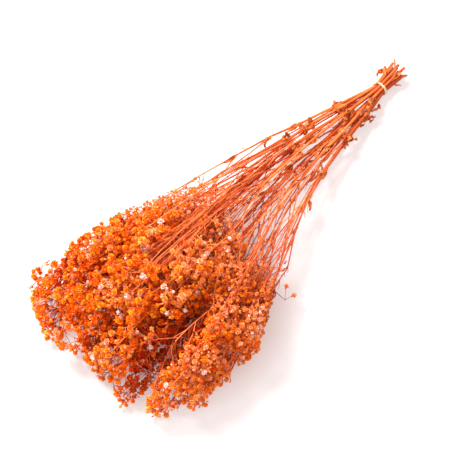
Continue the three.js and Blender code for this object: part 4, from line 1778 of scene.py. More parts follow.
def add_object(name: str, data: bpy.types.ID) -> Piece:
    """Puts a mesh, a camera or a light in the scene.

    Args:
        name: Its name.
        data: The mesh, camera or light.

    Returns:
        The object.
    """
    thing = bpy.data.objects.new(name, data)
    bpy.context.scene.collection.objects.link(thing)
    return thing


def finish_mesh(bm: Mesh, name: str, recalculate: bool = True) -> Piece:
    """Turns a mesh in millimetres from the tie into an object in the frame's place, in metres."""
    return add_object(name, end_mesh(bm, name, recalculate, TIE_PLACE))


def shade_smooth(piece: Piece, angle: float) -> None:
    """Smooth shading, with edges sharper than this angle left crisp."""
    piece.data.shade_smooth()
    piece.data.set_sharp_from_angle(angle=angle)


def place_corners(mesh: bpy.types.Mesh, corners: Rows) -> None:
    """Moves a mesh's corners to places in millimetres from the tie.

    Args:
        mesh: The mesh.
        corners: Their places, one a row.
    """
    placed = corners * MM + np.array(TIE_PLACE.translation)
    mesh.vertices.foreach_set("co", placed.ravel())
    mesh.update()


def set_attribute(mesh: bpy.types.Mesh, name: str, values: Rows) -> None:
    """Writes one number a vertex into the mesh, which materials read."""
    layer = mesh.attributes.new(name, "FLOAT", "POINT")
    layer.data.foreach_set("value", values.astype(np.float32))


def corners_of(mesh: bpy.types.Mesh) -> Rows:
    """A mesh's corners, one a row.

    Args:
        mesh: The mesh.

    Returns:
        Their places.
    """
    corners = np.zeros(3 * len(mesh.vertices))
    mesh.vertices.foreach_get("co", corners)
    return corners.reshape(-1, 3)


@cache
def run_form(rings: int, sides: int) -> bpy.types.Mesh:
    """A straight run of radius 1 up the Z axis, with a ring at each whole number.

    Args:
        rings: How many rings it has.
        sides: Sides of a ring.

    Returns:
        The mesh.
    """
    bm = bmesh.new()
    add_run(bm, [np.array((0.0, 0.0, i)) for i in range(rings)], [1.0] * rings, sides)
    return end_mesh(bm, f"run_form_{rings}_{sides}")


def bent_run(form: bpy.types.Mesh, points: Line, radii: list[float]) -> Rows:
    """Where the corners of a straight run lie once it follows a line.

    Args:
        form: The straight run.
        points: Middle of each ring.
        radii: Radius of each ring.

    Returns:
        The corners, one a row.
    """
    ways = ways_along(points)
    across = square(ways[0], 0)
    frames = []
    for way in ways:
        across = unit(across - way * (across @ way))
        frames.append((across, np.cross(way, across)))
    corners = corners_of(form)
    rings = np.rint(corners[:, 2]).astype(int)
    first, second = (np.array([frame[i] for frame in frames])[rings] for i in (0, 1))
    out = first * corners[:, :1] + second * corners[:, 1:2]
    return np.array(points)[rings] + out * np.array(radii)[rings][:, None]


@dataclass(frozen=True)
class Whorl:
    """One ring of petals of a bloom, in shares of its radius."""

    petals: int
    reach: float
    rise: float
    width: float
    cup: float
    turn: float = 0
    belly: float = 0.3  # how far out the middle of a petal bends, as a share of its reach


@dataclass
class BloomForm:
    """A bloom's shape, with its middle at the origin, facing +Z, at a radius of 1."""

    stage: Stage
    whorls: tuple[Whorl, ...] = ()
    foot: tuple = (0.1, -0.36)  # radius and height at which the petals leave the calyx
    belly_rise: tuple = (0.62, 0.05)  # height of a petal's belly: share of its rise, and more
    thick: float = 0.05
    notch: float = 0.1
    petal_sides: int = 5
    tip_from: float = 0.9  # how far out the notched tip of a petal starts
    tip_cup: float = 0.4
    fuller: float = 1.15  # how much wider a petal is than its width, since its outline has few corners
    varied: tuple = ((0.86, 1.08), (-0.12, 0.12), (-0.35, 0.35))  # share of the reach, and rise and twist
    twisted: float = 0.3
    spread: float = 0.16  # how unevenly the petals stand round a whorl
    middle_share: float = 0.55
    calyx: tuple = ((-0.9, 0.14), (-0.62, 0.33), (-0.24, 0.3))  # height and radius of each ring
    calyx_sides: int = 4
    egg: tuple = (0.62, 0.62, 0.95)
    egg_height: float = 0.1
    egg_shares: tuple = (0.5, 0.45)  # petal share at an egg's middle, and how much it grows upwards

    def bend(self, whorl: Whorl, u: float, reach: float, rise: float) -> tuple[float, float, float, float]:
        """The petal's middle line at u: radial place, height, and the line's direction.

        Args:
            whorl: The petal's whorl.
            u: How far along the petal, from 0 to 1.
            reach: How far out its tip is.
            rise: How high its tip is.

        Returns:
            The place outwards and up, and the direction in the same terms.
        """
        belly = (whorl.belly * reach, self.belly_rise[0] * rise + self.belly_rise[1])
        a, b, c = (1 - u) ** 2, 2 * u * (1 - u), u * u
        ends = list(zip(self.foot, belly, (reach, rise)))
        r, z = (a * p + b * q + c * end for p, q, end in ends)
        dr, dz = (2 * (1 - u) * (q - p) + 2 * u * (end - q) for p, q, end in ends)
        length = math.hypot(dr, dz)
        return r, z, dr / length, dz / length

    def add_petal(self, bm: Mesh, whorl: Whorl, angle: float, place: int) -> None:
        """One petal: a thin closed blade, cupped across, notched at its tip and bent outwards.

        Args:
            bm: The mesh that is built.
            whorl: The petal's whorl.
            angle: Where it stands round the bloom.
            place: Its own number.
        """
        share, tone = bm.verts.layers.float["petal_share"], bm.verts.layers.float["petal_tone"]
        own_tone = draw(Draw.BLADE, place, 4)
        varied = [between(*ends, Draw.BLADE, place, i) for i, ends in enumerate(self.varied, 1)]
        longer, higher, twist = varied
        reach, rise = whorl.reach * longer, whorl.rise + higher
        out = Vector((math.cos(angle), math.sin(angle), 0))
        aside = Vector((-math.sin(angle), math.cos(angle), 0))
        added = []
        for side in (1, -1):
            disc = {"cap_ends": True, "cap_tris": True, "segments": self.petal_sides, "radius": 1}
            verts = bmesh.ops.create_circle(bm, **disc)["verts"]
            for vert in verts:
                x, y = vert.co.x, vert.co.y
                at_middle, at_tip = math.hypot(x, y) < 0.1, x > self.tip_from
                u = max(0.0, math.sin(math.pi / 2 * ((x + 1) / 2) ** 0.8) - (self.notch if at_tip else 0))
                r, z, dr, dz = self.bend(whorl, u, reach, rise)
                lift = twist * y * self.twisted - (whorl.cup - side * self.thick if at_middle else 0)
                lift -= whorl.cup * self.tip_cup if at_tip else 0
                wide = y * whorl.width * self.fuller
                vert.co = out * (r - dz * lift) + aside * wide + UP_VECTOR * (z + dr * lift)
                vert[share], vert[tone] = self.middle_share if at_middle else u, own_tone
            added += verts
        bmesh.ops.remove_doubles(bm, verts=added, dist=1e-5)

    def add_calyx(self, bm: Mesh) -> None:
        """The green cup under the petals, with five teeth.

        Args:
            bm: The mesh that is built.
        """
        before = set(bm.faces)
        points, radii = [np.array((0, 0, z)) for z, _ in self.calyx], [r for _, r in self.calyx]
        add_run(bm, points, radii, self.calyx_sides)
        for face in set(bm.faces) - before:
            face.material_index = 1

    def add_heart(self, bm: Mesh) -> None:
        """A bud's closed petals, as an egg in its calyx.

        Args:
            bm: The mesh that is built.
        """
        share = bm.verts.layers.float["petal_share"]
        egg = Matrix.Translation((0, 0, self.egg_height)) @ Matrix.Diagonal((*self.egg, 1))
        made = bmesh.ops.create_uvsphere(bm, u_segments=6, v_segments=4, radius=1, matrix=egg)
        for vert in made["verts"]:
            vert[share] = self.egg_shares[0] + self.egg_shares[1] * vert.co.z

    def make(self, variant: int) -> bpy.types.Mesh:
        """Builds one variant of the bloom as a mesh of its own.

        Args:
            variant: Number of the variant.

        Returns:
            The mesh.
        """
        bm = bmesh.new()
        bm.verts.layers.float.new("petal_share")
        bm.verts.layers.float.new("petal_tone")
        self.add_calyx(bm)
        if self.stage is Stage.BUD:
            self.add_heart(bm)
        for row, whorl in enumerate(self.whorls):
            for i in range(whorl.petals):
                place = variant * 100 + row * 20 + i
                uneven = between(-self.spread, self.spread, Draw.BLADE, place)
                angle = 2 * math.pi * i / whorl.petals + whorl.turn + uneven
                self.add_petal(bm, whorl, angle, place)
        return end_mesh(bm, f"bloom_form_{self.stage.value}_{variant}")


BLOOM_FORMS = {
    Stage.OPEN: BloomForm(
        Stage.OPEN,
        (
            Whorl(7, 1.0, -0.02, 0.47, 0.1),
            Whorl(6, 0.82, 0.42, 0.42, 0.12, 0.5),
            Whorl(4, 0.14, 0.84, 0.36, 0.06, 0.9, 3.4),
        ),
    ),
    Stage.HALF: BloomForm(
        Stage.HALF,
        (Whorl(5, 0.8, 0.5, 0.46, 0.14), Whorl(3, 0.16, 0.9, 0.36, 0.06, 0.5, 3.2)),
    ),
    Stage.BUD: BloomForm(Stage.BUD),
}


@dataclass
class Blooms:
    """All real blooms of one stem, as one piece."""

    places: list[BloomPlace]
    forms: dict[Stage, list[bpy.types.Mesh]]

    def build(self, name: str) -> Piece:
        """Copies a variant of the right form to each place.

        Args:
            name: The piece's name.

        Returns:
            The piece.
        """
        bm = bmesh.new()
        corners = []
        for bloom in self.places:
            variants = self.forms[bloom.stage]
            form = variants[bloom.place % len(variants)]
            bm.from_mesh(form)
            spin = Quaternion((0, 0, 1), 2 * math.pi * draw(Draw.BLOOM_TURN, bloom.place, 4))
            turn = np.array((turned_to(bloom.facing) @ spin).to_matrix())
            corners.append(corners_of(form) @ turn.T * bloom.size + bloom.centre)
        piece = finish_mesh(bm, name, recalculate=False)
        place_corners(piece.data, np.concatenate(corners))
        counts = [len(own) for own in corners]
        # the dye attribute carries the painted shade too, above 1
        set_attribute(piece.data, "dye", np.repeat([bloom.dye for bloom in self.places], counts))
        return piece


@dataclass
class Wood:
    """A stem with its branches, twigs and flower stalks, as one piece."""

    stem: int
    limbs: list[Limb]
    runs: list[Run]
    setback: float
    sides: tuple = (9, 7, 5)  # of a stem, a branch and a twig
    deeper: float = 0.7  # how much painted shade darkens the wood inside the head
    inwards: tuple = (225, 60)  # where the painted shade starts, and over how far it grows
    shallow: tuple = (68, 30)  # above this height wood in the head gets no painted shade and is as pale as outside
    redder: float = 0.45  # how much darker red it is near the tie
    near_tie: tuple = (1.3, 90)

    def rounded(self, limb: Limb) -> tuple[Line, list[float]]:
        """A limb's line up to its spray, with more rings where it bends.

        Args:
            limb: The limb.

        Returns:
            Its points and the radius at each.
        """
        points = list(limb.points)
        way = unit(points[-1] - points[-2])
        points[-1] = points[-1] - way * self.setback
        return subdivided(points, limb.radii, 2) if limb.rank == 1 else (points, limb.radii)

    def build(self, name: str) -> Piece:
        """Extrudes every run of the stem's wood.

        Args:
            name: The piece's name.

        Returns:
            The piece.
        """
        bm = bmesh.new()
        limbs = [Run(self.stem, *self.rounded(limb), self.sides[limb.rank]) for limb in self.limbs]
        runs = limbs + self.runs
        corners = []
        for run in runs:
            form = run_form(len(run.points), run.sides)
            bm.from_mesh(form)
            corners.append(bent_run(form, run.points, run.radii))
        piece = finish_mesh(bm, name, recalculate=False)
        placed = np.concatenate(corners)
        place_corners(piece.data, placed)
        tones = [between(0, 1, Draw.DYE, self.stem, i, 5) for i in range(len(runs))]
        reach = np.hypot(placed[:, 0], placed[:, 1])
        # painted shade: wood inside the head and below its top is darkened, where the blooms shade it
        shade_in_head = np.clip((reach - self.inwards[0]) / self.inwards[1], 0, 1)
        shade_in_head *= np.clip((self.shallow[0] - placed[:, 2]) / self.shallow[1], 0, 1)
        at_tie = np.clip(self.near_tie[0] - reach / self.near_tie[1], 0, 1)
        tone = np.repeat(tones, [len(own) for own in corners])
        tone *= (1 - self.deeper * shade_in_head) * (1 - self.redder * at_tie)
        # the tone attribute carries each run's random tone, the redder dye near the tie and the painted shade
        set_attribute(piece.data, "tone", tone)
        shade_smooth(piece, 60 * DEGREE)
        return piece


def subdivided(points: Line, radii: list[float], parts: int) -> tuple[Line, list[float]]:
    """A line through the same points with more of them, rounded like a bent twig.

    Args:
        points: The points.
        radii: The radius at each.
        parts: How many parts each span is cut into.

    Returns:
        The new points and their radii.
    """
    ends = [points[0] * 2 - points[1], *points, points[-1] * 2 - points[-2]]
    line, sizes = [points[0]], [radii[0]]
    for i in range(1, len(ends) - 2):
        p, q, r, s = ends[i - 1 : i + 3]
        for part in range(1, parts + 1):
            t = part / parts
            curve = 2 * q + (r - p) * t + (2 * p - 5 * q + 4 * r - s) * t * t
            curve = curve + (3 * q - p - 3 * r + s) * t**3
            line.append(curve / 2)
            sizes.append(radii[i - 1] * (1 - t) + radii[i] * t)
    return line, sizes


@dataclass
class LeafBlade:
    """A dried leaf: a thin closed blade, folded along its midrib, curled and waved."""

    leaf: Leaf
    place: int
    thickness: float = 0.24
    fold: float = 0.35
    crumpled: float = 0.0
    columns: int = 9
    rows: int = 4
    base: tuple = (0.4, 0.32)  # share of the width at the base, and where the blade is full
    taper: tuple = (0.04, 2.1, 0.85)  # least width, and how late and how fast the tip narrows
    rolls: tuple = (-0.5, 1.1)  # how much the edges roll in or out
    torn: tuple = (0.9, 0.3)  # from where to the edge a crumpled blade is torn, and how deep
    lifted: float = 0.8
    waved: tuple = (0.16, 9)

    def width_at(self, u: float) -> float:
        """Share of the full width at u: a clasping base, a belly and a drawn-out tip.

        Args:
            u: How far along the leaf, from 0 to 1.

        Returns:
            The share.
        """
        least, late, fast = self.taper
        belly = self.base[0] + (1 - self.base[0]) * smooth(0, self.base[1], u)
        return belly * max(least, 1 - u**late) ** fast

    def add(self, bm: Mesh) -> None:
        """Bends a flat grid along the leaf's line and gives it its thickness.

        Args:
            bm: The mesh that is built.
        """
        across_layer = bm.verts.layers.float["leaf_across"]
        along_layer = bm.verts.layers.float["leaf_along"]
        line, _ = subdivided(self.leaf.line, [0.0] * len(self.leaf.line), self.columns // 3)
        made = bmesh.ops.create_grid(bm, x_segments=self.columns, y_segments=self.rows, size=1)["verts"]
        phase = 2 * math.pi * draw(Draw.BLADE, self.place, 11)
        roll = between(*self.rolls, Draw.BLADE, self.place, 12)
        for corner, vert in enumerate(made):
            u, v = (vert.co.x + 1) / 2, vert.co.y
            bent = self.crumpled * between(-1, 1, Draw.BLADE, self.place, 100 + corner)
            i = min(self.columns, round(u * self.columns))
            way = unit(line[min(i + 1, self.columns)] - line[max(i - 1, 0)])
            angle = self.leaf.twist * u
            side = self.leaf.across * math.cos(angle) + np.cross(way, self.leaf.across) * math.sin(angle)
            face = np.cross(side, way)
            torn = self.torn[1] * abs(bent) if abs(v) > self.torn[0] else 0
            width = self.leaf.half_width * self.width_at(u) * (1 - torn)
            lift = (self.fold * abs(v) + roll * u * v * v) * width + bent * self.leaf.half_width * self.lifted
            lift += self.waved[0] * self.leaf.half_width * math.sin(self.waved[1] * u + phase) * v
            vert.co = Vector(line[i] + side * (v * width) + face * lift)
            vert[across_layer], vert[along_layer] = v, u
        faces = list({face for vert in made for face in vert.link_faces})
        bmesh.ops.solidify(bm, geom=faces, thickness=self.thickness)


@dataclass(frozen=True)
class ScrapLie:
    """How a crumpled leaf lies on its stem: the least value and the range of each."""

    ahead: tuple  # along the stem
    out: tuple  # away from it
    curl: tuple  # as shares of its length
    root: float  # where it starts, in radii of the stem


@dataclass
class Foliage:
    """The dried leaves of one stem, with the sheaths that clasp its joints, as one piece."""

    stem: int
    leaves: list[Leaf]
    joints: list[Joint]
    growth: Growth
    small_joints: int = 7  # joints with leaves, from the tie
    sheathed: float = 0.4  # share of joints whose leaf bases still clasp the stem
    sheath: tuple = ((-4.6, 1.04), (-2.6, 1.3), (-0.4, 1.6), (2.4, 1.42), (4.8, 1.16))  # places and girths
    sheath_sides: int = 9
    sheath_colour: tuple = (0.5, 0.4)  # where on a leaf its colour is taken, across and along
    partnered: float = 0.45  # share of leaves that still have the opposite one
    partner_length: float = 0.82
    partner_hug: float = 0.55
    partner_ahead: float = 0.4
    partner_width: float = 0.85
    partner_twist: float = -0.7
    bract_length: tuple = (6, 11)
    bract_lean: tuple = (0.35, 0.8)
    bract_curl: float = 0.3
    bract_width: float = 0.13
    bract_twist: float = 0.6
    lowest: tuple = (1.2, 0.5)  # over the surface: millimetres, and half widths of the leaf
    scrap_joints: int = 13
    scrap_zone: tuple = (70, 280)  # from the tie, over which the scraps get smaller and fewer
    scrap_share: tuple = (0.7, 0.8)  # far from the tie and near it
    more_scraps: float = 1.6
    scrap_length: tuple = (5.5, 9.5)
    scrap_width: tuple = (0.12, 0.1, 0.12)  # share of its length, how much more near the tie, and the range
    scrap_twist: tuple = (-1.2, 1.2)
    scrap_lowest: tuple = (0.6, 1.5)
    scrap_step: float = 10  # over how far the stem's direction is taken
    at_joint: ScrapLie = ScrapLie((-0.7, 1.9), (0.5, 0.5), (0.2, 0.9), 0.6)
    caught: ScrapLie = ScrapLie((-1, 2), (0.1, 0.35), (0, 0.3), 1.1)
    backwards: float = 0.4  # share of the caught scraps that point to the cut ends
    outside: float = 2.5  # how evenly these lie round the bunch
    loose: tuple = ((0.4, 18, 50), (0.5, -26, -8), (0.5, -20, -7))  # share of stems with one, and where

    @staticmethod
    def is_low(line: Line, half_width: float, lowest: tuple) -> bool:
        """Whether a leaf would touch the surface."""
        return min(p[2] for p in line) < lowest[0] + half_width * lowest[1]

    def joint_way(self, number: int) -> tuple[Point, Point]:
        """A joint's place, and the stem's direction from there."""
        point = self.joints[number][1]
        return point, unit(self.joints[number + 1][1] - point)

    def scrap(self, place: int, distance: float, joint: bool) -> Leaf | None:
        """A crumpled dry leaf: at a joint, or caught among the stems near the tie.

        Args:
            place: Its own number.
            distance: How far from the tie it is.
            joint: Whether it sits at a joint.

        Returns:
            The leaf, or None where it would touch the surface.
        """
        rolls, lie = draws(8, Draw.SCRAP, self.stem, place), self.at_joint if joint else self.caught
        point = self.growth.stem_point(self.stem, distance)
        direction = unit(self.growth.stem_point(self.stem, distance + self.scrap_step) - point)
        outward = square(direction, 2 * math.pi * rolls[0])
        if not joint:
            rolls[2] = float(rolls[2] > self.backwards)
            middle = np.array((point[0], 0, SIZES.tie_height))
            outward = unit(point - middle + outward * self.outside)
            outward = unit(outward - direction * (outward @ direction))
        near = (1 - smooth(*self.scrap_zone, abs(distance))) ** 2
        length = part_way(self.scrap_length, rolls[1]) * (1 + near)
        spans = zip((lie.ahead, lie.out, lie.curl), rolls[2:5])
        ahead, out, curl = (least + spread * roll for (least, spread), roll in spans)
        lean = unit(direction * ahead + outward * out)
        root = point + outward * Growth.stem_radius(distance) * lie.root
        line = curled(root, lean, outward, length, curl * length)
        least, nearer, spread = self.scrap_width
        half_width = length * (least + nearer * near + spread * rolls[5])
        if self.is_low(line, half_width, self.scrap_lowest):
            return None
        across = unit(np.cross(lean, outward))
        return Leaf(self.stem, line, across, half_width, part_way(self.scrap_twist, rolls[6]))

    def scraps(self) -> list[Leaf]:
        """Every crumpled leaf of the stem.

        Returns:
            The leaves.
        """
        found = []
        for number, (distance, _) in enumerate(self.joints[: self.scrap_joints]):
            near = 1 - smooth(*self.scrap_zone, distance)
            more = round(self.more_scraps * near * draw(Draw.SCRAP, self.stem, number, 20))
            for i in range(1 + more):
                if draw(Draw.SCRAP, self.stem, number, 30 + i) < part_way(self.scrap_share, near):
                    found.append(self.scrap(10 * number + i, distance, True))
        for i, (share, low, high) in enumerate(self.loose):
            if draw(Draw.SCRAP, self.stem, 60 + i) < share:
                found.append(self.scrap(200 + i, between(low, high, Draw.SCRAP, self.stem, 64 + i), False))
        return [leaf for leaf in found if leaf]

    def partner(self, leaf: Leaf, number: int) -> Leaf | None:
        """The opposite leaf at the same joint, which hugs the stem.

        Args:
            leaf: The leaf.
            number: The joint's number.

        Returns:
            The opposite leaf, or None where it would touch the surface.
        """
        point, direction = self.joint_way(number)
        line = []
        for p in leaf.line:
            step = (p - point) * self.partner_length
            ahead = direction * (step @ direction)
            line.append(point + ahead - (step - ahead) * self.partner_hug + direction * self.partner_ahead)
        if self.is_low(line, leaf.half_width, self.lowest):
            return None
        half_width = leaf.half_width * self.partner_width
        return Leaf(self.stem, line, -leaf.across, half_width, self.partner_twist * leaf.twist)

    def bract(self, number: int, side: int) -> Leaf:
        """A small leaf at one of the further joints.

        Args:
            number: The joint's number.
            side: 0 or 1, for the two of a pair.

        Returns:
            The leaf.
        """
        point, direction = self.joint_way(number)
        turn = math.pi * side + 2 * math.pi * draw(Draw.LEAF_TURN, self.stem, number, 77)
        outward = square(direction, turn)
        length = between(*self.bract_length, Draw.LEAF_TURN, self.stem, number, 78 + side)
        out = between(*self.bract_lean, Draw.LEAF_TURN, self.stem, number, 80 + side)
        lean = unit(direction + outward * out)
        line = curled(point, lean, outward, length, self.bract_curl * length)
        across = unit(np.cross(lean, outward))
        return Leaf(self.stem, line, across, length * self.bract_width, self.bract_twist)

    def add_sheath(self, bm: Mesh, number: int) -> None:
        """The joined leaf bases, which clasp the stem at a joint like a ragged cuff.

        Args:
            bm: The mesh that is built.
            number: The joint's number.
        """
        point, direction = self.joint_way(number)
        thick = Growth.stem_radius(self.joints[number][0])
        points = [point + direction * (ahead * thick / SIZES.stem_radius) for ahead, _ in self.sheath]
        before = set(bm.verts)
        add_run(bm, points, [thick * wide for _, wide in self.sheath], self.sheath_sides, number)
        across, along_leaf = bm.verts.layers.float["leaf_across"], bm.verts.layers.float["leaf_along"]
        for vert in set(bm.verts) - before:
            vert[across], vert[along_leaf] = self.sheath_colour

    def build(self, name: str) -> Piece:
        """Adds every leaf, partner, bract and sheath of the stem.

        Args:
            name: The piece's name.

        Returns:
            The piece.
        """
        bm = bmesh.new()
        bm.verts.layers.float.new("leaf_across")
        bm.verts.layers.float.new("leaf_along")
        blades = list(self.leaves)
        for leaf in self.leaves:
            nearest = min(range(len(self.joints)), key=lambda k: math.dist(self.joints[k][1], leaf.line[0]))
            if math.dist(self.joints[nearest][1], leaf.line[0]) < 1:
                kept = draw(Draw.BLADE, self.stem, nearest, 91) < self.partnered
                partner = self.partner(leaf, nearest) if kept else None
                blades += [partner] if partner else []
        for number in range(Growth.LEAF_JOINTS, min(self.small_joints, len(self.joints) - 1)):
            blades += [self.bract(number, side) for side in (0, 1)]
        for i, leaf in enumerate(blades):
            LeafBlade(leaf, self.stem * 80 + i).add(bm)
        for i, leaf in enumerate(self.scraps()):
            LeafBlade(leaf, self.stem * 80 + 40 + i, crumpled=0.9, rows=3, columns=6).add(bm)
        for number in range(min(Growth.LEAF_JOINTS, len(self.joints) - 1)):
            if draw(Draw.BLADE, self.stem, number, 90) < self.sheathed:
                self.add_sheath(bm, number)
        piece = finish_mesh(bm, name)
        shade_smooth(piece, 50 * DEGREE)
        return piece


@dataclass
class ElasticBand:
    """The thin elastic band: two turns round the stems and a slack loop at its knot."""

    radius: float = SIZES.bundle_radius + SIZES.clearance + 0.64  # of the ring's middle line
    thick: float = 0.66
    steps: int = 72
    turns: tuple = ((-0.62, 0.05), (0.6, -0.04))  # place along the stems and tilt of each turn
    dip: float = 0.3  # how far the band pulls in between two stems
    knot: tuple = (0.4, 4.6, SIZES.tie_height + 8.4)
    knot_size: tuple = (1.5, 1.3, 1.1)
    loop_steps: int = 24
    loop_out: Point = field(default_factory=lambda: np.array((-8.5, 7.0, -2.6)))
    loop_wide: Point = field(default_factory=lambda: np.array((1.1, 1.3, 0.5)))

    def add_turn(self, bm: Mesh, shift: float, tilt: float) -> None:
        """One turn: a small circle spun round the stems, then pulled in between them.

        Args:
            bm: The mesh that is built.
            shift: Where it lies along the stems.
            tilt: How much it tilts.
        """
        place = Matrix.Translation((0, 0, self.radius)) @ Matrix.Rotation(math.pi / 2, 4, "X")
        ring = bmesh.ops.create_circle(bm, cap_ends=False, segments=8, radius=self.thick, matrix=place)
        edges = list({edge for vert in ring["verts"] for edge in vert.link_edges})
        before = set(bm.verts) - set(ring["verts"])
        bmesh.ops.spin(
            bm, geom=ring["verts"] + edges, cent=(0, 0, 0), axis=(1, 0, 0), angle=2 * math.pi,
            steps=self.steps, use_merge=True,
        )
        count, _, turn = SIZES.rings[1]
        for vert in set(bm.verts) - before:
            around = math.atan2(vert.co.z, vert.co.y)
            between_stems = 0.5 - 0.5 * math.cos(count * (around - turn * DEGREE))
            pull = 1 - self.dip * between_stems / self.radius
            vert.co.y *= pull
            vert.co.z *= pull
            vert.co.x += shift + tilt * (vert.co.y + 0.6 * vert.co.z)
            vert.co.z += SIZES.tie_height

    def add_loop(self, bm: Mesh) -> None:
        """The slack end: a narrow loop that lies over the stems beside the knot.

        Args:
            bm: The mesh that is built.
        """
        points = []
        for i in range(self.loop_steps + 1):
            turn = 2 * math.pi * i / self.loop_steps
            out = 0.5 - 0.5 * math.cos(turn)
            points.append(np.array(self.knot) + self.loop_out * out + self.loop_wide * math.sin(turn))
        add_run(bm, points, [self.thick] * len(points), 7)
        egg = Matrix.Translation(Vector(self.knot)) @ Matrix.Diagonal((*self.knot_size, 1))
        bmesh.ops.create_uvsphere(bm, u_segments=10, v_segments=8, radius=1, matrix=egg)

    def build(self, name: str) -> Piece:
        """Adds both turns, the knot and the loop.

        Args:
            name: The piece's name.

        Returns:
            The piece.
        """
        bm = bmesh.new()
        for shift, tilt in self.turns:
            self.add_turn(bm, shift, tilt)
        self.add_loop(bm)
        piece = finish_mesh(bm, name)
        shade_smooth(piece, 60 * DEGREE)
        return piece


# ---------------------------------------------------------------- finishes

def rgba(colour: Colour) -> tuple[float, float, float, float]:
    """A colour with full alpha."""
    return (*colour, 1.0)


class Nodes:
    """The nodes of one material or shader group, joined as they are placed."""

    def __init__(self, tree: bpy.types.NodeTree) -> None:
        """Empties the tree."""
        self.tree = tree
        tree.nodes.clear()

    def add(self, kind: str, inputs: dict | None = None, **settings) -> bpy.types.Node:
        """Places a node.

        Args:
            kind: Its type, without the leading ShaderNode.
            inputs: Values or sockets for its inputs, by name or number.
            **settings: Its own settings.

        Returns:
            The node.
        """
        node = self.tree.nodes.new(kind if kind.startswith("Node") else "ShaderNode" + kind)
        for name, value in settings.items():
            setattr(node, name, value)
        for key, value in (inputs or {}).items():
            if isinstance(value, Socket):
                self.tree.links.new(value, node.inputs[key])
            else:
                node.inputs[key].default_value = value
        return node

    def math(self, operation: str, *values) -> Socket:
        """A Math node's result."""
        return self.add("Math", dict(enumerate(values)), operation=operation).outputs[0]

    def blend(self, share, a, b) -> Socket:
        """A colour between a and b."""
        colours = {key: rgba(value) if isinstance(value, tuple) else value for key, value in ((6, a), (7, b))}
        return self.add("Mix", {0: share, **colours}, data_type="RGBA").outputs[2]

    def group(self, tree: bpy.types.NodeTree, *values) -> bpy.types.Node:
        """Places a shader group, with values or sockets for its inputs in order."""
        return self.add("Group", dict(enumerate(values)), node_tree=tree)

    def spread(self, value, low: float, high: float, to_low: float = 0, to_high: float = 1) -> Socket:
        """A value's range mapped to another, and held there."""
        places = {0: value, 1: low, 2: high, 3: to_low, 4: to_high}
        return self.add("MapRange", places, clamp=True).outputs[0]

    def attribute(self, name: str) -> Socket:
        """A number that the mesh carries at each vertex."""
        return self.add("Attribute", attribute_name=name).outputs["Fac"]

    def object_place(self, scale: tuple[float, float, float] = (1, 1, 1)) -> Socket:
        """The place on the piece, stretched along its axes."""
        place = self.add("TexCoord").outputs["Object"]
        return self.add("Mapping", {"Vector": place, "Scale": scale}).outputs[0]

    def noise(self, place, scale: float, detail: float = 2) -> Socket:
        """Soft noise at a place."""
        return self.add("TexNoise", {"Vector": place, "Scale": scale, "Detail": detail}).outputs["Fac"]


def make_group(
    name: str, inputs: dict[str, str], outputs: dict[str, str]
) -> tuple[bpy.types.NodeTree, Nodes]:
    """An empty shader group with named sockets.

    Args:
        name: The group's name.
        inputs: Socket type by input name.
        outputs: Socket type by output name.

    Returns:
        The group and its nodes.
    """
    tree = bpy.data.node_groups.new(name, "ShaderNodeTree")
    for in_out, sockets in (("INPUT", inputs), ("OUTPUT", outputs)):
        for socket, kind in sockets.items():
            tree.interface.new_socket(socket, in_out=in_out, socket_type="NodeSocket" + kind)
    return tree, Nodes(tree)


def fibre_group() -> bpy.types.NodeTree:
    """Dry fibres that run along X: a streak mask and a height.

    Returns:
        The group.
    """
    tree, nodes = make_group(
        "dry_fibres", {"Vector": "Vector", "Scale": "Float"}, {"Streaks": "Float", "Height": "Float"}
    )
    given = nodes.add("NodeGroupInput")
    fine = nodes.noise(given.outputs[0], given.outputs[1], 4)
    streaks = nodes.spread(fine, 0.36, 0.66)
    out = nodes.add("NodeGroupOutput")
    tree.links.new(streaks, out.inputs[0])
    tree.links.new(fine, out.inputs[1])
    return tree


def dye_group() -> bpy.types.NodeTree:
    """Uneven dye: patches and streaks where a colour is paler or darker.

    Returns:
        The group.
    """
    colours = {name: "Color" for name in ("Dyed", "Pale", "Deep")}
    inputs = {"Vector": "Vector", **colours, "Scale": "Float", "Streaks": "Float"}
    tree, nodes = make_group("uneven_dye", inputs, {"Colour": "Color"})
    given = nodes.add("NodeGroupInput").outputs
    patches = nodes.noise(given[0], given[4], 3)
    pale = nodes.math("MULTIPLY", nodes.spread(patches, 0.5, 0.72), 0.7)
    deep = nodes.math("MULTIPLY", nodes.spread(patches, 0.5, 0.3), 0.8)
    colour = nodes.blend(pale, given[1], given[2])
    colour = nodes.blend(deep, colour, given[3])
    colour = nodes.blend(nodes.math("MULTIPLY", given[5], 0.35), colour, given[2])
    tree.links.new(colour, nodes.add("NodeGroupOutput").inputs[0])
    return tree


@dataclass
class Groups:
    """The shader groups that several finishes share, each built once."""

    fibres: bpy.types.NodeTree = field(default_factory=fibre_group)
    dye: bpy.types.NodeTree = field(default_factory=dye_group)


@dataclass(frozen=True)
class DyedFinish:
    """What the dyed finishes share: three tones of one colour, mixed by the uneven dye."""

    dyed: Colour
    pale: Colour
    deep: Colour

    def uneven(self, nodes: Nodes, groups: Groups, place: Socket, patch: float, streaks: Socket) -> Socket:
        """The uneven dye in this finish's colours.

        Args:
            nodes: The material's nodes.
            groups: The shared groups.
            place: Where on the piece the patches are looked up.
            patch: Scale of the patches.
            streaks: Where fibres pale the colour.

        Returns:
            The colour.
        """
        tones = (rgba(colour) for colour in (self.dyed, self.pale, self.deep))
        return nodes.group(groups.dye, place, *tones, patch, streaks).outputs[0]


def new_material(name: str) -> tuple[bpy.types.Material, Nodes]:
    """An empty node material.

    Args:
        name: Its name.

    Returns:
        The material and its nodes.
    """
    material = bpy.data.materials.new(name)
    material.use_nodes = True
    return material, Nodes(material.node_tree)


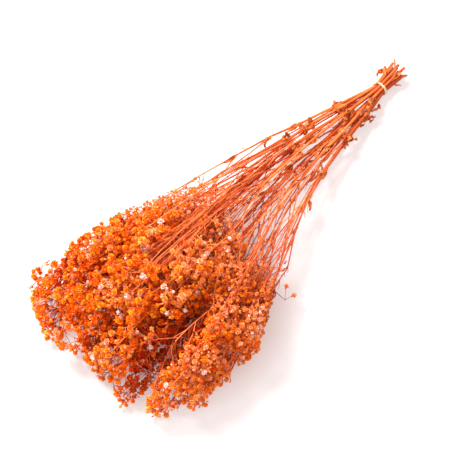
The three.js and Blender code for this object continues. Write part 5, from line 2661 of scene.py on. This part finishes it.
def finish_material(
    nodes: Nodes, inputs: dict, height: Socket | None = None, strength: float = 0.3, depth: float = 0.0001
) -> None:
    """Ends a material in a Principled BSDF, with a bump where a height is given.

    Args:
        nodes: The material's nodes.
        inputs: The shader's inputs, by name.
        height: The bump's height.
        strength: The bump's strength.
        depth: The bump's depth in metres.
    """
    shader = nodes.add("BsdfPrincipled", inputs)
    if height is not None:
        bump_node = nodes.add("Bump", {"Height": height, "Strength": strength, "Distance": depth})
        nodes.tree.links.new(bump_node.outputs[0], shader.inputs["Normal"])
    out = nodes.add("OutputMaterial")
    nodes.tree.links.new(shader.outputs[0], out.inputs[0])


@dataclass(frozen=True)
class StemFinish(DyedFinish):
    """Dry dyed bark: red-orange with paler fibres, darkened by painted shade inside the head."""

    dyed: Colour = (0.76, 0.125, 0.02)
    pale: Colour = (0.86, 0.3, 0.09)
    deep: Colour = (0.38, 0.022, 0.004)
    along: tuple[float, float, float] = (0.06, 1.0, 1.0)
    fibre: float = 900
    patch: float = 45
    patchy: tuple[float, float, float] = (0.4, 1, 1)
    gloss: float = 0.25

    def make(self, groups: Groups) -> bpy.types.Material:
        """Builds the material.

        Args:
            groups: The shared shader groups.

        Returns:
            The material.
        """
        material, nodes = new_material("dyed_bark")
        streaks, height = nodes.group(groups.fibres, nodes.object_place(self.along), self.fibre).outputs
        dye = self.uneven(nodes, groups, nodes.object_place(self.patchy), self.patch, streaks)
        tone = nodes.attribute("tone")
        # a low tone darkens the bark: random runs, the wood near the tie, and painted shade inside the head
        colour = nodes.blend(nodes.spread(tone, 0.45, 0.0, 0, 0.8), dye, self.deep)
        colour = nodes.blend(nodes.spread(tone, 0.6, 1.0, 0, 0.55), colour, self.pale)
        rough = nodes.spread(streaks, 0, 1, 0.55, 0.8)
        inputs = {"Base Color": colour, "Roughness": rough, "Specular IOR Level": self.gloss}
        finish_material(nodes, inputs, height, 0.4)
        return material


@dataclass(frozen=True)
class LeafFinish(DyedFinish):
    """Papery dried leaf: tan orange, with a pale midrib, veins and browned tips."""

    dyed: Colour = (0.66, 0.15, 0.028)
    pale: Colour = (0.76, 0.25, 0.075)
    deep: Colour = (0.45, 0.08, 0.015)
    tip: Colour = (0.34, 0.09, 0.03)
    patch: float = 160
    gloss: float = 0.25

    def make(self, groups: Groups) -> bpy.types.Material:
        """Builds the material.

        Args:
            groups: The shared shader groups.

        Returns:
            The material.
        """
        material, nodes = new_material("papery_leaf")
        across, along_leaf = nodes.attribute("leaf_across"), nodes.attribute("leaf_along")
        place = nodes.add("CombineXYZ", {0: nodes.math("MULTIPLY", along_leaf, 0.25), 1: across}).outputs[0]
        veins, height = nodes.group(groups.fibres, place, 9).outputs
        dye = self.uneven(nodes, groups, nodes.object_place(), self.patch, veins)
        browned = nodes.math("MULTIPLY", nodes.spread(along_leaf, 0.72, 1), 0.7)
        colour = nodes.blend(browned, dye, self.tip)
        rib = nodes.spread(nodes.math("ABSOLUTE", across), 0.14, 0.04)
        colour = nodes.blend(nodes.math("MULTIPLY", rib, 0.5), colour, self.pale)
        inputs = {"Base Color": colour, "Roughness": 0.68, "Specular IOR Level": self.gloss}
        finish_material(nodes, inputs, height, 0.5, 0.0002)
        return material


@dataclass(frozen=True)
class PetalFinish:
    """Dyed petals: from nearly white to full orange, redder at the heart, with a painted highlight at the
    petal edges and painted shade on blooms deep in the head.
    """

    white: Colour = (0.95, 0.83, 0.78)
    peach: Colour = (1.0, 0.4, 0.13)
    amber: Colour = (1.0, 0.36, 0.01)
    orange: Colour = (1.0, 0.21, 0.004)
    heart: Colour = (1.0, 0.12, 0.002)
    # painted highlight along the petal edges
    rim: Colour = (1.0, 0.46, 0.12)
    # painted shade, for blooms deep in the head
    deep: Colour = (0.52, 0.03, 0.001)
    gloss: float = 0.08

    def make(self, groups: Groups) -> bpy.types.Material:
        """Builds the material.

        Args:
            groups: The shared shader groups.

        Returns:
            The material.
        """
        material, nodes = new_material("dyed_petals")
        dye, share = nodes.attribute("dye"), nodes.attribute("petal_share")
        place = nodes.object_place()
        blotch = nodes.noise(place, 420, 3)
        dye = nodes.math("ADD", dye, nodes.spread(blotch, 0.3, 0.7, -0.12, 0.12))
        colour = nodes.blend(nodes.spread(dye, 0.08, 0.3), self.white, self.peach)
        colour = nodes.blend(nodes.spread(dye, 0.48, 0.68), colour, self.amber)
        colour = nodes.blend(nodes.spread(dye, 0.7, 0.98), colour, self.orange)
        # dye above 1 turns towards the painted shade
        colour = nodes.blend(nodes.spread(dye, 1.0, 1.4), colour, self.deep)
        tone = nodes.attribute("petal_tone")
        colour = nodes.blend(nodes.spread(tone, 0.5, 0.0, 0, 0.45), colour, self.heart)
        dyed = nodes.math("MULTIPLY", nodes.spread(dye, 0.3, 0.8), nodes.spread(dye, 1.4, 1.0, 0.3, 1.0))
        depth = nodes.math("MULTIPLY", nodes.spread(share, 0.6, 0.1), nodes.math("MULTIPLY", dyed, 0.22))
        colour = nodes.blend(depth, colour, self.heart)
        # painted highlight: the outer part of each petal turns pale, more on fully dyed blooms and
        # light-toned petals
        light = nodes.math("MULTIPLY", dyed, nodes.spread(tone, 0.2, 1.0, 0.35, 0.85))
        edge = nodes.math("MULTIPLY", nodes.spread(share, 0.75, 1.0), light)
        colour = nodes.blend(edge, colour, self.rim)
        inputs = {"Base Color": colour, "Roughness": 0.65, "Specular IOR Level": self.gloss}
        finish_material(nodes, inputs, blotch, 0.25)
        return material


@dataclass(frozen=True)
class CalyxFinish(DyedFinish):
    """The small cup under the petals: dyed, with a green-brown cast."""

    dyed: Colour = (0.72, 0.13, 0.02)
    pale: Colour = (0.86, 0.35, 0.1)
    deep: Colour = (0.38, 0.1, 0.02)
    patch: float = 300
    fibre: float = 1500

    def make(self, groups: Groups) -> bpy.types.Material:
        """Builds the material.

        Args:
            groups: The shared shader groups.

        Returns:
            The material.
        """
        material, nodes = new_material("dyed_calyx")
        place = nodes.object_place()
        streaks, height = nodes.group(groups.fibres, place, self.fibre).outputs
        dye = self.uneven(nodes, groups, place, self.patch, streaks)
        finish_material(nodes, {"Base Color": dye, "Roughness": 0.65}, height)
        return material


@dataclass(frozen=True)
class ElasticFinish:
    """Cream rubber, slightly dusty and stained by the dye."""

    rubber: Colour = (0.8, 0.62, 0.42)
    stain: Colour = (0.75, 0.38, 0.18)

    def make(self, _: Groups) -> bpy.types.Material:
        """Builds the material.

        Args:
            _: The shared shader groups, which it needs none of.

        Returns:
            The material.
        """
        material, nodes = new_material("cream_elastic")
        place = nodes.object_place()
        stained = nodes.math("MULTIPLY", nodes.spread(nodes.noise(place, 220), 0.5, 0.75), 0.45)
        grain = nodes.noise(place, 2500, 3)
        rough = nodes.spread(grain, 0.3, 0.7, 0.42, 0.6)
        inputs = {"Base Color": nodes.blend(stained, self.rubber, self.stain), "Roughness": rough}
        finish_material(nodes, inputs, grain, 0.25)
        return material


# ---------------------------------------------------------------- studio


@dataclass
class Studio:
    """The camera, the pale floor and the soft light."""

    target: tuple = (-202.4, 34.3, -60.35)  # millimetres, from under the tie
    azimuth: float = -49.5
    elevation: float = 62
    distance: float = 1.3
    view_width: float = 0.483
    floor_half: float = 3.0
    floor_colour: Colour = (0.38, 0.35, 0.35)
    floor_glow: float = 0.58
    glow_colour: Colour = (1.0, 0.98, 0.985)
    painted_shadow_colour: Colour = (0.58, 0.36, 0.34)  # the glow's colour under the head: a painted shadow, where little light comes down
    # middle of the painted shadow, and the distances over which it fades in
    under: tuple = (-0.12, 0.0, 0.0)
    painted_shadow_reach: tuple = (0.125, 0.07)
    sky: float = 0.93
    sky_colour: Colour = (1.0, 0.86, 0.79)
    key_power: float = 63
    key_size: float = 0.6
    key_from: tuple = (-0.1, 1.1, 1.35)

    def add_camera(self) -> None:
        """A long lens that looks down at the bunch from its side."""
        turn, rise = self.azimuth * DEGREE, self.elevation * DEGREE
        back = Vector((math.sin(turn) * math.cos(rise), -math.cos(turn) * math.cos(rise), math.sin(rise)))
        data = bpy.data.cameras.new("camera")
        data.sensor_width = 36
        data.lens = data.sensor_width * self.distance / self.view_width
        data.clip_end = 20
        camera = add_object("camera", data)
        camera.location = TIE_PLACE @ Vector(self.target) + back * self.distance
        camera.rotation_euler = back.to_track_quat("Z", "Y").to_euler()
        bpy.context.scene.camera = camera

    def add_floor(self) -> None:
        """A wide pale sheet under the bunch, lit a little from below as a light table is, with a painted
        shadow in its glow under the head.
        """
        bm = bmesh.new()
        bmesh.ops.create_grid(bm, x_segments=1, y_segments=1, size=self.floor_half)
        floor = add_object("floor", end_mesh(bm, "floor", recalculate=False))
        material, nodes = new_material("pale_floor")
        places = {0: nodes.object_place(), 1: self.under}
        # painted shadow: the glow dims and warms under the head
        away = nodes.add("VectorMath", places, operation="DISTANCE").outputs["Value"]
        colour = nodes.blend(nodes.spread(away, *self.painted_shadow_reach), self.glow_colour, self.painted_shadow_colour)
        glow = {"Emission Color": colour, "Emission Strength": self.floor_glow}
        finish_material(nodes, {"Base Color": rgba(self.floor_colour), "Roughness": 0.9, **glow})
        floor.data.materials.append(material)

    def add_lights(self) -> None:
        """Even light from all round, and a soft key from behind on the left."""
        world = bpy.data.worlds.new("studio")
        bpy.context.scene.world = world
        world.use_nodes = True
        nodes = Nodes(world.node_tree)
        sky = nodes.add("Background", {"Color": rgba(self.sky_colour), "Strength": self.sky})
        nodes.tree.links.new(sky.outputs[0], nodes.add("OutputWorld").inputs[0])
        data = bpy.data.lights.new("key", "AREA")
        data.energy, data.size = self.key_power, self.key_size
        key = add_object("key", data)
        key.location = Vector(self.key_from)
        key.rotation_euler = Vector(self.key_from).to_track_quat("Z", "Y").to_euler()

    def build(self) -> None:
        """Sets the whole studio up."""
        self.add_camera()
        self.add_floor()
        self.add_lights()
        view = bpy.context.scene.view_settings
        view.view_transform, view.look = "Standard", "None"


# ---------------------------------------------------------------- the bunch


@dataclass
class Bunch:
    """The whole bunch: stems with their leaves and blooms, and the elastic band."""

    head: Head = field(default_factory=Head)
    full_head: Head = Head(  # the same head with all its small blooms on: fuller lobes, a deeper cleft
        lobes=((9, 3.5, 0.02), (-7.2, 1.5, 0.012), (7.0, 2.2, 0.016), (-3.8, 1.3, 0.022)),
        notches=((4.0, 0.6, 0.012), (-6.2, 0.8, 0.07)),
        cleft=-6.4, cleft_drift=1.7, cleft_size=(0.76, 1.9), cleft_start=(300, 345),
        bays=((389, 14, 2.6), (352, 9, -5)),
        gaps=((-398, 92, 3.5), (-405, 83, 4.5), (-413, 54, 6.5), (-401, 36, 2.5), (-402, 7, 5), (-418, 3, 3)),
    )
    rules: SprayRules = field(default_factory=SprayRules)
    variants: dict = field(default_factory=lambda: {Stage.OPEN: 8, Stage.HALF: 4, Stage.BUD: 2})
    strays: tuple = (  # a fork and its blooms, in millimetres from the tie
        ((-256, -80.5, 14), ((-247.6, -84, 16), (-247.3, -74.5, 22))),
        ((-296, 82, 36), ((-293, 87, 40),)),
        ((-399, 108, 14), ((-404, 113, 16),)),
    )

    def dress(self, piece: Piece, slot: str, node: str, *materials: bpy.types.Material) -> None:
        """Gives a piece its finish and its place in the frame, and reports it.

        Args:
            piece: The piece.
            slot: Its slot, which is not used.
            node: The node that it replaces.
            *materials: Its finishes, one for each slot of the mesh.
        """
        for material in materials:
            piece.data.materials.append(material)
        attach(piece, BODY)
        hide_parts(node)
        LOG.info("%s: %d faces, for %s", piece.name, len(piece.data.polygons), node)

    def grow(self) -> tuple[Growth, list[Run], list[BloomPlace]]:
        """Grows what the solids hold, and the fine wood and the real blooms on it.

        Returns:
            The solids' own growth, every run of fine wood, and every bloom.
        """
        growth = Growth(self.head)
        growth.grow()
        shoots = Shoots(growth, ShootRules())
        shoots.grow()
        shoots.grow_through_window()
        fine = grow_barbs(growth.rods, BarbRules())
        fine += grow_tangle(growth.rods, self.full_head, TangleRules())
        sprays = Sprays(growth, self.full_head, self.rules)
        sprays.break_up()
        sprays.end_shoots(shoots)
        for number, (fork, centres) in enumerate(self.strays):
            sprays.add_stray(number, fork, centres)
        sprays.fill()
        for what, grown in (("limbs", growth.limbs), ("leaves", growth.leaves), ("side shoots", shoots.runs)):
            LOG.info("%d %s", len(grown), what)
        LOG.info("%d barbs and inner twigs, %d blooms", len(fine), len(sprays.blooms))
        return growth, shoots.runs + fine + sprays.runs, sprays.blooms

    def build(self) -> None:
        """Grows the bunch and builds every piece."""
        groups = Groups()
        finishes = (StemFinish(), LeafFinish(), PetalFinish(), CalyxFinish(), ElasticFinish())
        bark, leaf, petal, calyx, elastic = (finish.make(groups) for finish in finishes)
        growth, wood, blooms = self.grow()
        forms = {stage: [BLOOM_FORMS[stage].make(v) for v in range(n)] for stage, n in self.variants.items()}
        for stem in range(len(SIZES.stems)):
            name = f"stem_{stem + 1:02d}"
            node = "gypsophila_" + name
            grown = (growth.limbs, growth.leaves, wood, blooms)
            limbs, leaves, runs, places = ([one for one in many if one.stem == stem] for many in grown)
            woody = Wood(stem, limbs, runs, self.rules.setback).build(name + "_wood")
            leafy = Foliage(stem, leaves, growth.joints[stem], growth).build(name + "_leaves")
            self.dress(woody, STEM_SLOT, node, bark)
            self.dress(leafy, STEM_SLOT, node, leaf)
            self.dress(Blooms(places, forms).build(name + "_blooms"), BLOOM_SLOT, node, petal, calyx)
        for variants in forms.values():
            for form in variants:
                bpy.data.meshes.remove(form)
        self.dress(ElasticBand().build("elastic"), ELASTIC_SLOT, "elastic_band", elastic)


def main() -> None:
    """Builds the studio and the bunch."""
    logging.basicConfig(level=logging.INFO, format="%(name)s: %(message)s")
    Studio().build()
    Bunch().build()


if __name__ == "__main__":
    main()
